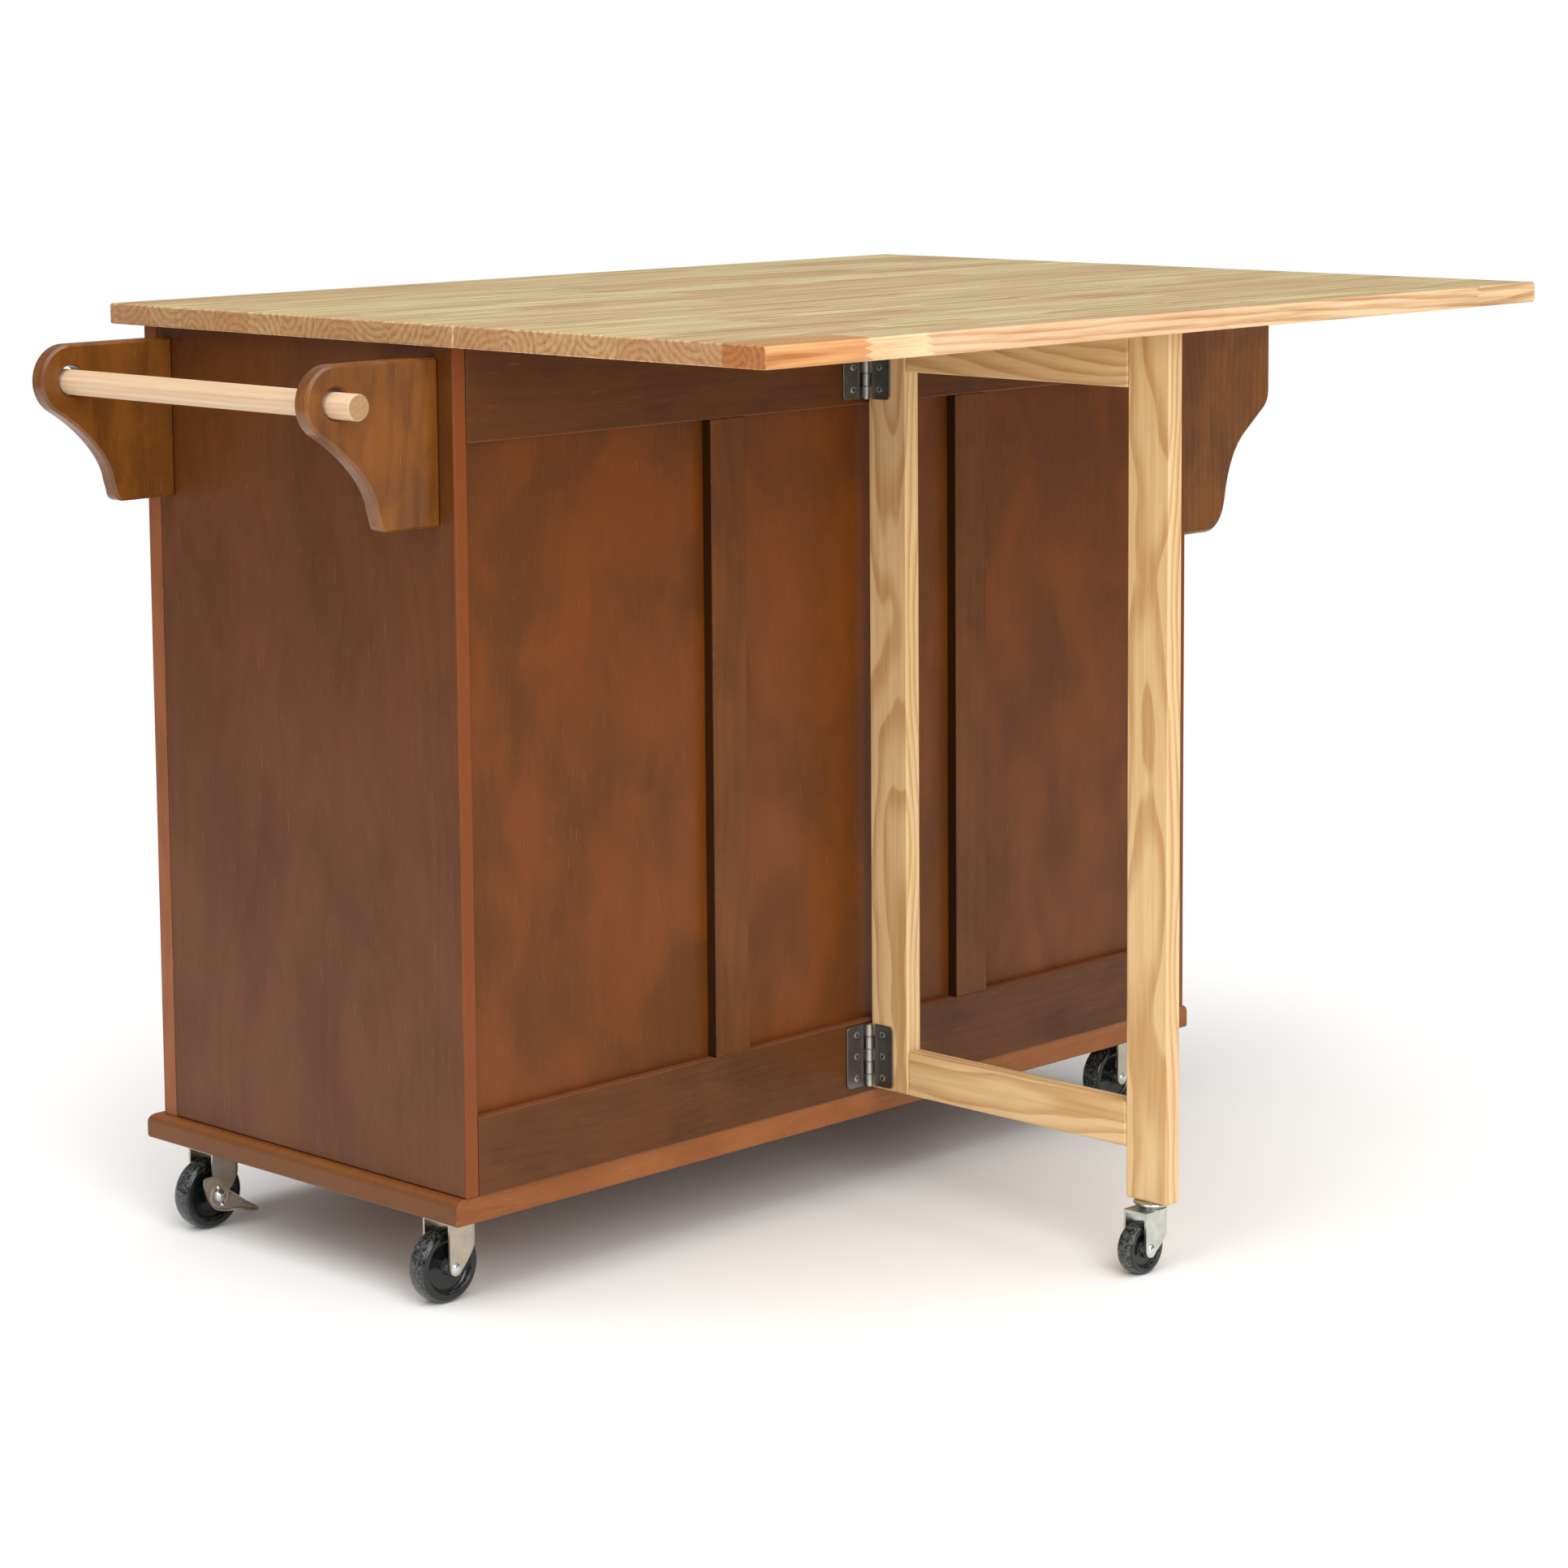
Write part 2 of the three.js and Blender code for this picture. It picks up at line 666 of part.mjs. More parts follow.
function gateHinges() {
  const size = { length: gateHingeLength, reach: gateHingeReach, radius: gateHingeRadius };
  const lowerMiddle = baseTop + gateHingeFootInset + gateHingeLength / 2;
  const upperMiddle = topUnderside - gateHingeHeadInset - gateHingeLength / 2;
  for (const [place, middle] of [['upper', upperMiddle], ['lower', lowerMiddle]]) {
    const fixed = hingeHalf({ ...size, side: -1, firstKnuckle: fixedKnuckle });
    const moving = hingeHalf({ ...size, side: 1, firstKnuckle: movingKnuckle });
    add(`gate_hinge_${place}_fixed`, fixed, hingeSteel).position.set(gateHingeX, gateHingeY, middle);
    const swung = add(`gate_hinge_${place}_moving`, moving, hingeSteel);
    swung.position.set(gateHingeX, gateHingeY, middle);
    swung.rotation.z = Math.PI / 2;
  }
}

// The leaf hinges lie flat under the joint between the two tops, their pins along X.
function leafHinges() {
  const pinZ = topUnderside - leafHingeRadius - hingeLeafThickness + weld;
  const size = { length: leafHingeLength, reach: leafHingeReach, radius: leafHingeRadius, side: 1 };
  const towardsLeaf = new THREE.Matrix4().makeBasis(
    new THREE.Vector3(0, 1, 0), new THREE.Vector3(0, 0, 1), new THREE.Vector3(1, 0, 0));
  const towardsFront = new THREE.Matrix4().makeBasis(
    new THREE.Vector3(0, -1, 0), new THREE.Vector3(0, 0, 1), new THREE.Vector3(-1, 0, 0));
  for (const [end, side] of ends) {
    const x = side * (halfCabinet + topEndOverhang - leafHingeEndInset);
    const fixed = hingeHalf({ ...size, firstKnuckle: fixedKnuckle });
    const moving = hingeHalf({ ...size, firstKnuckle: movingKnuckle });
    add(`leaf_hinge_${end}_fixed`, fixed.applyMatrix4(towardsFront), hingeSteel)
      .position.set(x, jointLine, pinZ);
    add(`leaf_hinge_${end}_moving`, moving.applyMatrix4(towardsLeaf), hingeSteel)
      .position.set(x, jointLine, pinZ);
  }
}

// ---------------------------------------------------------------- gate

const gateLegMiddleY = gateBackGap + gateWidth - gateMember / 2;
const gateMiddleX = gateFaceX - gateThickness / 2;

function gate() {
  const x0 = gateFaceX - gateThickness;
  const x1 = gateFaceX;
  const stileEnd = gateBackGap + gateMember;
  const legStart = gateBackGap + gateWidth - gateMember;
  const legEnd = gateBackGap + gateWidth;
  add('gate_hinge_stile', board(x0, x1, gateBackGap, stileEnd, gateFoot, gateTop), naturalGate);
  add('gate_outer_leg', board(x0, x1, legStart, legEnd, gateCasterHeight, gateTop), naturalGate);
  add('gate_top_rail',
    board(x0, x1, stileEnd, legStart, gateTop - gateTopRailHeight, gateTop), naturalGate);
  add('gate_bottom_rail',
    board(x0, x1, stileEnd, legStart, gateFoot, gateFoot + gateBottomRailHeight), naturalGate);
}

// ---------------------------------------------------------------- casters

// Every caster stands in a group of its own, with the swivel axis on its Z axis and z measured
// from the floor. The wheel trails along +X.
const mainCaster = {
  top: casterHeight,
  wheelRadius: wheelDiameter / 2,
  wheelWidth,
  forkWidth: forkOuterWidth,
  trail: casterTrail,
};
const gateCaster = {
  top: gateCasterHeight,
  wheelRadius: gateWheelDiameter / 2,
  wheelWidth: gateWheelWidth,
  forkWidth: gateForkOuterWidth,
  trail: gateCasterTrail,
};

// The swivel pin with its head below the fork, under the race that the fork turns against.
function swivelProfile(top, rim) {
  const raceLow = top - mountThickness - raceHeight;
  const headHigh = raceLow - 2 * swivelGap - crownThickness;
  return [
    [0, headHigh - pinHeadHeight], [pinHeadRadius, headHigh - pinHeadHeight],
    [pinHeadRadius, headHigh], [pinRadius, headHigh], [pinRadius, raceLow], ...rim(raceLow),
  ];
}

function plateMount({ top }) {
  const race = turnedUp(swivelProfile(top, (low) => [
    [raceRadius, low], [raceRadius, top - mountThickness + weld], [0, top - mountThickness + weld]]));
  const half = mountWidth / 2;
  return union(race, board(-half, half, -half, half, top - mountThickness, top, 1));
}

function washerMount({ top }) {
  return turnedUp(swivelProfile(top, (low) => [
    [raceRadius * 0.7, low], [raceRadius, top - mountThickness], [raceRadius, top - weld],
    [raceRadius - weld, top], [0, top]]));
}

// The fork's side, tapering from the crown to the boss round the axle.
function forkSide({ top, wheelRadius, trail }) {
  const crownTop = top - mountThickness - raceHeight - swivelGap;
  const shape = new THREE.Shape();
  shape.moveTo(-forkNose, crownTop);
  shape.lineTo(-forkNose, crownTop - 9);
  shape.quadraticCurveTo(-forkNose + 3, crownTop - 25,
    trail - forkBossRadius * 0.87, wheelRadius - forkBossRadius * 0.5);
  shape.absarc(trail, wheelRadius, forkBossRadius, Math.PI * 7 / 6, Math.PI * 2, false);
  shape.lineTo(trail + forkBossRadius, crownTop);
  shape.closePath();
  return shape;
}

// The fork seen from above: round at the nose, square at the trailing edge.
function forkPlan({ forkWidth, trail }) {
  const half = forkWidth / 2;
  const shape = new THREE.Shape();
  const tail = trail + forkBossRadius + 1;
  shape.moveTo(tail, half);
  shape.lineTo(0, half);
  shape.bezierCurveTo(-forkNose * 0.7, half, -forkNose, half * 0.5, -forkNose, 0);
  shape.bezierCurveTo(-forkNose, -half * 0.5, -forkNose * 0.7, -half, 0, -half);
  shape.lineTo(tail, -half);
  shape.closePath();
  return shape;
}

// A rivet through the wheel, with a domed head on each side of the fork.
function axleRivet({ wheelRadius, forkWidth, trail }, braked) {
  const back = forkWidth / 2 - 0.5;
  const headBack = forkWidth / 2 + (braked ? brakePlate + 2 * seatGap : 0);
  const profile = [
    [0, -back - rivetHeight - 0.5], [rivetRadius * 0.6, -back - rivetHeight],
    [rivetRadius, -back], [axleRadius, -back], [axleRadius, headBack],
    [rivetRadius, headBack], [rivetRadius * 0.6, headBack + rivetHeight - 0.5],
    [0, headBack + rivetHeight],
  ];
  return turned(profile, 16).translate(trail, 0, wheelRadius);
}

function fork(spec, braked) {
  const { top, wheelRadius, forkWidth, trail } = spec;
  const half = forkWidth / 2;
  const crownTop = top - mountThickness - raceHeight - swivelGap;
  const folded = common(sheetXZ(forkSide(spec), -half, half, 0, 5),
    sheet(forkPlan(spec), crownTop + 1, 0, 5));
  const wheelSpace = block(-forkNose - 1, trail + forkBossRadius + 2, -half + forkSheet,
    half - forkSheet, -1, crownTop - crownThickness);
  const pinHole = new THREE.CylinderGeometry(pinRadius + axleGap, pinRadius + axleGap,
    crownThickness + 4, 16).rotateX(Math.PI / 2).translate(0, 0, crownTop - crownThickness / 2);
  return union(cut(folded, wheelSpace, pinHole), axleRivet(spec, braked));
}

// A solid wheel: crowned tread, a web that is thinner than the rim, and hub bosses to the fork.
function wheel({ wheelRadius, wheelWidth: width, forkWidth, trail }) {
  const hub = forkWidth / 2 - forkSheet - seatGap;
  const half = width / 2;
  const bore = axleRadius + axleGap;
  const hubRadius = bore + 5;
  const side = [
    [bore, hub], [hubRadius, hub], [hubRadius, half * 0.6], [wheelRadius * 0.66, half * 0.6],
    [wheelRadius * 0.74, half], [wheelRadius * 0.93, half], [wheelRadius, half * 0.55],
  ];
  const mirrored = side.map(([radius, y]) => [radius, -y]);
  const profile = [...mirrored, ...side.reverse(), mirrored[0]];
  return turned(profile, 24).translate(trail, 0, wheelRadius);
}

// Outline of the stamped brake lever round the axle, in plate radii: a lug above the axle, a bulge
// below it and a round-tipped tongue that the foot presses.
const leverOutline = [
  [1.04, 0.71], [1.01, 0.98], [0.85, 1.09], [0.52, 1.09], [0.03, 0.91], [-0.38, 0.54],
  [-0.6, 0.2], [-0.95, -0.07], [-1.42, -0.45], [-1.84, -0.71], [-2.15, -0.9], [-2.31, -1.08],
  [-2.2, -1.2], [-1.84, -1.16], [-1.47, -1.04], [-1.16, -0.9], [-0.9, -0.86], [-0.59, -0.88],
  [-0.18, -0.83], [0.29, -0.67], [0.59, -0.39], [0.8, -0.03], [0.95, 0.37],
];

function brakeLever({ wheelRadius, forkWidth, trail }) {
  const corners = leverOutline.map(([x, z]) =>
    new THREE.Vector2(x * brakePlateRadius, z * brakePlateRadius));
  const curve = new THREE.SplineCurve([...corners, corners[0]]);
  const shape = new THREE.Shape(curve.getPoints(2 * corners.length).slice(0, -1));
  const hole = new THREE.Path();
  hole.absarc(0, 0, axleRadius + axleGap, 0, Math.PI * 2, true);
  shape.holes.push(hole);
  const near = forkWidth / 2 + seatGap;
  return sheetXZ(shape, near, near + brakePlate, 0, 6).translate(trail, 0, wheelRadius);
}

function caster(name, spec, mount, material, x, y, braked) {
  const group = new THREE.Group();
  group.position.set(x, y, 0);
  model.add(group);
  const gateName = name === 'gate';
  add(gateName ? 'gate_caster_stem' : `caster_mount_${name}`, mount(spec), material, group);
  add(gateName ? 'gate_caster_fork' : `caster_fork_${name}`, fork(spec, braked), material, group);
  add(gateName ? 'gate_caster_wheel' : `caster_wheel_${name}`, wheel(spec), blackRubber, group);
  if (braked) add(`brake_lever_${name}`, brakeLever(spec), material, group);
}

function casters() {
  for (const [end, side] of ends) {
    const x = side * (halfCabinet - casterEndInset);
    caster(`${end}_back`, mainCaster, plateMount, nickel, x, -casterBackInset, false);
    caster(`${end}_front`, mainCaster, plateMount, nickel, x, frontFace + casterFrontInset, true);
  }
  caster('gate', gateCaster, washerMount, zinc, gateMiddleX, gateLegMiddleY, false);
}

// ---------------------------------------------------------------- the whole island

worktop();
baseBoard();
endPanels();
backPanels();
dividers();
shelves();
faceFrame();
doors();
drawers();
towelRack();
spiceRack();
gateHinges();
leafHinges();
gate();
casters();

// The origin is on the floor, under the middle of the object's own box.
const middleX = (towelReach - spiceReach) / 2;
const middleY = (leafEdge + knobFace) / 2;
model.position.set(-middleX, -middleY, 0);

export default island;
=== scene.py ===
# %% [markdown]
# # A drop leaf kitchen island
# The island is a stained cabinet on casters with a natural wood top. A leaf doubles the top and
# lies on a gate that swings out of the cabinet's back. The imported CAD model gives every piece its
# size and place, so this lesson only dresses it: finishes first, then the small pieces and the
# rounded edges that a faceted solid can't show.

# %% Load the frame
import json
import math

import bmesh
import bpy
from mathutils import Matrix, Vector


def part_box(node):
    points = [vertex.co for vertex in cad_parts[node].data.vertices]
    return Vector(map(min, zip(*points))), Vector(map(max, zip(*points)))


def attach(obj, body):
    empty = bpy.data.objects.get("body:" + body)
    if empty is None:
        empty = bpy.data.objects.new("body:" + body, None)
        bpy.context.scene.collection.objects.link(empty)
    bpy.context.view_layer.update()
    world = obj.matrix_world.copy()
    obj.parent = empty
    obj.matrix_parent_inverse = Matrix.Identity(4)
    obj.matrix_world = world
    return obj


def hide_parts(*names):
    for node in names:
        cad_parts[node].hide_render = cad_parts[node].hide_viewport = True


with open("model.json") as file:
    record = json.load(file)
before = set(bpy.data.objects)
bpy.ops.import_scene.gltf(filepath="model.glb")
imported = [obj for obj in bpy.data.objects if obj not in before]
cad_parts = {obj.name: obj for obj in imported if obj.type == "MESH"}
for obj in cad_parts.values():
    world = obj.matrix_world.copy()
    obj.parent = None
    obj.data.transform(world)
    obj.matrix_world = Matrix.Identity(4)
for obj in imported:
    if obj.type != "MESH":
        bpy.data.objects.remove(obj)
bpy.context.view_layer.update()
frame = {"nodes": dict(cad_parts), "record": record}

bodies_of = frame["record"]["behaviour"]["bodies"]
body_of = {node: body for body, nodes in bodies_of.items() for node in nodes}
slot_of = {part["node"]: part["material_slot"] for part in frame["record"]["subparts"]}

# %% [markdown]
# ## The view
# A product photograph of furniture is taken from far away with a long lens, and the lens is
# shifted so that the legs stay upright. Here most of that shift is a small tilt instead, because
# a strong shift would push the island out of the frame in every other view.

# %% Camera
VIEW_PLACE = (2.9427, 2.8110, 1.1656)
VIEW_HEADING = 225.384
VIEW_TILT = -7.092
VIEW_ROLL = -0.450
LENS = 94.94
SHIFT = (0.0070, -0.15)


def camera_matrix(place, heading, tilt, roll):
    """Looks along a compass heading from +Y, tilted up and rolled, all in degrees."""
    turn, rise = math.radians(heading), math.radians(tilt)
    forward = Vector((math.sin(turn) * math.cos(rise), math.cos(turn) * math.cos(rise),
                      math.sin(rise)))
    right = forward.cross(Vector((0, 0, 1))).normalized()
    up = right.cross(forward)
    spin = Matrix.Rotation(math.radians(-roll), 3, forward)
    right, up = spin @ right, spin @ up
    return Matrix.Translation(place) @ Matrix((right, up, -forward)).transposed().to_4x4()


camera = bpy.data.objects.new("camera", bpy.data.cameras.new("camera"))
bpy.context.collection.objects.link(camera)
camera.matrix_world = camera_matrix(VIEW_PLACE, VIEW_HEADING, VIEW_TILT, VIEW_ROLL)
camera.data.lens = LENS
camera.data.shift_x, camera.data.shift_y = SHIFT
camera.data.dof.use_dof = False
bpy.context.scene.camera = camera
print("camera", tuple(round(v, 3) for v in camera.location))

# %% [markdown]
# ## Colours and nodes
# Colours are picked as the sRGB hex values of a screen and turned to the linear values that a
# shader works with. One function adds any node, sets it, links it and gives back an output, so
# that a material reads as a list of steps. A Mix node keeps its sockets for colours behind those
# for numbers, so the places of the ones used here have names.

# %% Colour and node helpers
MM = 0.001
SHARE, BELOW, ABOVE, MIXED = 0, 6, 7, 2


def linear(code):
    """The linear colour of an sRGB hex code such as "c9aa7f"."""
    parts = [int(code[i:i + 2], 16) / 255 for i in (0, 2, 4)]
    return (*[c / 12.92 if c <= 0.04045 else ((c + 0.055) / 1.055) ** 2.4 for c in parts], 1.0)


def plug(tree, node, inputs):
    """Sets a node's inputs, each to a value or to another node's output."""
    for key, value in inputs.items() if isinstance(inputs, dict) else enumerate(inputs):
        if isinstance(value, bpy.types.NodeSocket):
            tree.links.new(value, node.inputs[key])
        else:
            node.inputs[key].default_value = value


def add(tree, kind, inputs=(), out=0, **settings):
    """Adds a node with its inputs and settings, and gives back one of its outputs."""
    made = tree.nodes.new("ShaderNode" + kind)
    for key, value in settings.items():
        setattr(made, key, value)
    plug(tree, made, inputs)
    return made.outputs[out]


def new_material(name):
    """An empty material with its Principled shader, ready for nodes."""
    material = bpy.data.materials.new(name)
    material.use_nodes = True
    tree = material.node_tree
    return material, tree, tree.nodes["Principled BSDF"]


finishes = {}

# %% [markdown]
# ## Wood that is solid all the way through
# A board is cut out of a trunk, so its face shows long stripes and its end shows arcs of the same
# growth rings. A picture wrapped round the board can't do both. Here the rings are real circles
# round a pith that lies somewhere near each stave, and whatever face the board has cuts them.
# A wide top is glued up from staves, and each stave from shorter blocks with finger joints, so
# every block draws its own pith, tone and place from a white noise. A saw-tooth across the
# thickness moves the end of each block, which draws the fingers. A real glue line is about 0.1 mm
# wide, too fine to show, so it is drawn as a shadow that fades over 0.35 mm on either side.

# %% Glued blocks
FINGER_PITCH = 3.1 * MM
FINGER_STEEPNESS = 3.6
ROW_STAGGER = 7.0
GLUE_LINE = 0.35 * MM


def glued_blocks(tree, along, side, deep, stave, block, seed):
    """Parts a board into staves and blocks.

    Gives the place across the stave, three chances of the block, 0 on the glue lines, and the
    place along the board with the teeth of the finger joints in it."""
    finger = add(tree, "Math", (deep, FINGER_PITCH), operation="PINGPONG")
    jagged = add(tree, "Math", (finger, FINGER_STEEPNESS, along), operation="MULTIPLY_ADD")
    staves = add(tree, "Math", (side, 1 / stave, seed), operation="MULTIPLY_ADD")
    row = add(tree, "Math", (staves,), operation="FLOOR")
    stagger = add(tree, "TexWhiteNoise", {"W": row}, noise_dimensions="1D")
    blocks = add(tree, "Math", (jagged, 1 / block, seed), operation="MULTIPLY_ADD")
    blocks = add(tree, "Math", (stagger, ROW_STAGGER, blocks), operation="MULTIPLY_ADD")
    column = add(tree, "Math", (blocks,), operation="FLOOR")
    key = add(tree, "CombineXYZ", (row, column, seed))
    chance = add(tree, "TexWhiteNoise", {"Vector": key}, "Color", noise_dimensions="3D")
    inside = add(tree, "Math", (staves,), operation="FRACT")
    local = add(tree, "Math", (inside, stave, -stave / 2), operation="MULTIPLY_ADD")
    to_seam = add(tree, "Math", (staves, 0.5), operation="PINGPONG")
    seam = add(tree, "MapRange", (to_seam, 0.0, GLUE_LINE / stave))
    to_butt = add(tree, "Math", (blocks, 0.5), operation="PINGPONG")
    butt = add(tree, "MapRange", (to_butt, 0.0, GLUE_LINE / block))
    joint = add(tree, "Math", (seam, butt), operation="MULTIPLY")
    return local, chance, joint, jagged


# %% [markdown]
# No trunk is quite straight, so a slow noise bends the circles. The noise changes little along the
# board and faster across it, which pulls the rings out into the long flames of a flat-sawn face.

# %% Growth rings
BEND_ALONG, BEND_ACROSS = 1.9, 7.0
BENDS_APART = 9.0


def growth_rings(tree, axes, pith, drift, ring, seed, glued=None):
    """The ring count, the block's tone and the places that a wood needs.

    Axes names the directions along, across and through the board. Pith is where the middle of the
    rings lies, across and through. Drift bends the rings, and ring is their spacing. Glued gives
    the width and length of glued-up blocks and how far their piths are spread."""
    place = add(tree, "TexCoord", out="Object")
    parts = add(tree, "SeparateXYZ", (place,)).node.outputs
    along, side, deep = (parts[axis] for axis in axes)
    turned = add(tree, "CombineXYZ", (along, side, deep))
    rings = {"place": turned, "side": side}
    local, chance = side, (seed, seed, seed)
    if glued:
        stave, block, spread = glued
        local, chance, rings["joint"], rings["jagged"] = glued_blocks(
            tree, along, side, deep, stave, block, seed)
        rings["tone"] = add(tree, "SeparateColor", (chance,)).node.outputs[2]
    apart = add(tree, "VectorMath", (chance, (BENDS_APART,) * 3), operation="MULTIPLY")
    wavy = add(tree, "VectorMath", (turned, (BEND_ALONG, BEND_ACROSS, BEND_ACROSS), apart),
               operation="MULTIPLY_ADD")
    bends = add(tree, "TexNoise", {"Vector": wavy, "Scale": 1.0, "Detail": 3.0, "Roughness": 0.45},
                "Color")
    here = add(tree, "CombineXYZ", (local, deep))
    bent = add(tree, "VectorMath", (bends, (drift, drift, 0.0), here), operation="MULTIPLY_ADD")
    if glued:
        bent = add(tree, "VectorMath", (chance, (spread, spread, 0.0), bent),
                   operation="MULTIPLY_ADD")
        pith = (pith[0] + spread / 2, pith[1] + spread / 2)
    middle = (pith[0] + drift / 2, pith[1] + drift / 2, 0.0)
    radius = add(tree, "VectorMath", (bent, middle), "Value", operation="DISTANCE")
    rings["count"] = add(tree, "Math", (radius, 1 / ring), operation="MULTIPLY")
    return rings


def pith_behind(node, axes, aside, behind):
    """The pith of a board of its own, a little aside of its middle and behind it."""
    low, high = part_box(node)
    middle = (low + high) / 2
    across, through = ("XYZ".index(axis) for axis in axes[1:])
    return middle[across] + aside, middle[through] + behind


# %% [markdown]
# Every wood here, clear or stained, is shaded in the same steps. Early wood is pale, late wood
# darkens slowly and then ends at once where the next spring began. Fibres and broad streaks follow
# the grain. A real fibre is a few hundredths of a millimetre wide, too fine to show, so the fibres
# are drawn in bundles about a millimetre wide. Last, the faces that look one way can take a tone.
# On end grain under a finish that tone is the wood's own; on some other faces it is painted light,
# painted shade or a painted highlight, and each of these is named where it is set.

# %% Shade, fibres and toned faces
LATE_WOOD = 0.3, 0.86
RING_END = 0.9, 1.0
FACE_TURN = 0.5, 0.9


def ring_shade(tree, count):
    """0 in early wood, rising to 1 in the dark late wood that ends each ring."""
    turn = add(tree, "Math", (count,), operation="FRACT")
    rise = add(tree, "MapRange", (turn, *LATE_WOOD), interpolation_type="SMOOTHSTEP")
    fall = add(tree, "MapRange", (turn, *RING_END, 1.0, 0.0), interpolation_type="SMOOTHSTEP")
    return add(tree, "Math", (rise, fall), operation="MULTIPLY")


def wood_fibres(tree, place, length, width):
    """Streaks along the grain, as long and as wide as given."""
    stretched = add(tree, "VectorMath", (place, (1 / length, 1 / width, 1 / width)),
                    operation="MULTIPLY")
    return add(tree, "TexNoise", {"Vector": stretched, "Scale": 1.0, "Detail": 5.0,
                                  "Roughness": 0.6})


def deepen(tree, shade, streaks, amount, clamp=False):
    """Adds a share of some streaks, which lie round 0.5, to a shade."""
    even = add(tree, "Math", (streaks, 0.5), operation="SUBTRACT")
    return add(tree, "Math", (even, amount, shade), operation="MULTIPLY_ADD", use_clamp=clamp)


def toned_faces(tree, colour, axis, code, amount, kind="MIX", both=True):
    """Tones the faces that look along an axis; both also takes those that look back along it."""
    facing = add(tree, "SeparateXYZ", (add(tree, "TexCoord", out="Normal"),)).node.outputs[axis]
    if both:
        facing = add(tree, "Math", (facing,), operation="ABSOLUTE")
    share = add(tree, "MapRange", (facing, *FACE_TURN, 0.0, amount),
                interpolation_type="SMOOTHSTEP")
    return add(tree, "Mix", {SHARE: share, BELOW: colour, ABOVE: linear(code)}, MIXED,
               data_type="RGBA", blend_type=kind)


# %% [markdown]
# ## Clear lacquered top, gate and towel bar
# The top is edge-glued rubberwood under a satin lacquer. Its ends soak up more finish than its
# faces, so end grain is redder. The faces that look up are tinted olive, and that tint is painted
# light, the colour of the light falling on the top. The block at the leaf's outer corner is redder
# than the others. The gate is pine and the towel bar a turned beech dowel. Clear lacquer fills the
# fibres, so the gloss is even and the bump is very small.

# %% Clear wood
CLEAR_FIBRE = 60 * MM, 1.1 * MM
CLEAR_STREAK = 190 * MM, 6 * MM
FIBRE_DEPTH = 0.35
GLUE_DARKNESS = 0.62


def clear_wood(name, axes, seed, early, late, pith, drift, contrast, roughness, ring=7 * MM,
               streak=0.3, gloss=0.4, glued=None, warm=None, tones=(), corner=None):
    """Early and late are the two colours of a ring. Warm is the tone that some glued blocks take,
    and corner the place, the inner edge and the tone of one redder block."""
    material, tree, shader = new_material(name)
    rings = growth_rings(tree, axes, pith, drift, ring, seed, glued)
    fibres = wood_fibres(tree, rings["place"], *CLEAR_FIBRE)
    broad = wood_fibres(tree, rings["place"], *CLEAR_STREAK)
    streaks = add(tree, "MapRange", (broad, 0.38, 0.66), interpolation_type="SMOOTHSTEP")
    shade = add(tree, "Math", (ring_shade(tree, rings["count"]), contrast), operation="MULTIPLY")
    shade = add(tree, "Math", (streaks, streak, shade), operation="MULTIPLY_ADD")
    shade = deepen(tree, shade, fibres, FIBRE_DEPTH, True)
    base = linear(early)
    if glued:
        base = add(tree, "Mix", {SHARE: rings["tone"], BELOW: base, ABOVE: linear(warm)}, MIXED,
                   data_type="RGBA")
    colour = add(tree, "Mix", {SHARE: shade, BELOW: base, ABOVE: linear(late)}, MIXED,
                 data_type="RGBA")
    for tone in tones:
        colour = toned_faces(tree, colour, *tone)
    if corner:
        joint_place, inner_edge, code = corner
        past = add(tree, "Math", (rings["jagged"], joint_place), operation="GREATER_THAN")
        outer = add(tree, "Math", (rings["side"], inner_edge), operation="GREATER_THAN")
        both = add(tree, "Math", (past, outer), operation="MULTIPLY")
        colour = add(tree, "Mix", {SHARE: both, BELOW: colour, ABOVE: linear(code)}, MIXED,
                     data_type="RGBA", blend_type="MULTIPLY")
    if glued:
        line = add(tree, "MapRange", (rings["joint"], 0.0, 1.0, GLUE_DARKNESS, 1.0))
        colour = add(tree, "Mix", {SHARE: 1.0, BELOW: colour, ABOVE: line}, MIXED,
                     data_type="RGBA", blend_type="MULTIPLY")
    sheen = add(tree, "MapRange", (fibres, 0.3, 0.7, roughness - 0.04, roughness + 0.08))
    bump = add(tree, "Bump", {"Height": fibres, "Strength": 0.35, "Distance": 0.1 * MM})
    plug(tree, shader, {"Base Color": colour, "Roughness": sheen, "Normal": bump, "IOR": 1.5,
                        "Specular IOR Level": gloss})
    return material


# %% [markdown]
# The staves of the top are 50 mm wide and its blocks 400 mm long. The piths of the blocks are
# spread over 60 mm, half of it on either side of the block's middle, so some blocks show flat
# grain and some upright.

# %% Edge-glued top and leaf
LEAF_END_JOINT = 0.4395
LEAF_OUTER_STAVE = 0.40
top_low, top_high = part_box("main_top")
top_middle = (top_low.z + top_high.z) / 2
# The last tone, on the faces that look up, is painted light: an olive tint for the light on the
# top.
finishes["top_wood"] = clear_wood(
    "edge_glued_rubberwood_satin_lacquer", "XYZ", 4.5, "f3dbab", "b07f50", (0.0, top_middle),
    drift=36 * MM, contrast=0.5, streak=0.5, roughness=0.5, gloss=0.15,
    glued=(50 * MM, 400 * MM, 60 * MM), warm="e2ba94",
    tones=(("X", "cda876", 0.4), ("X", "cfbfb4", 1.0, "MULTIPLY"),
           ("Z", "d7e2dc", 1.0, "MULTIPLY", False)),
    corner=(LEAF_END_JOINT, LEAF_OUTER_STAVE, "f0cdb2"))
print("middle of the top's thickness", round(top_middle, 4))

# %% [markdown]
# Pine grows fast, so its rings are wide and its flames bold. Every board of the gate comes out of
# another trunk, so each has a pith and a seed of its own. The drawer boxes are plywood.

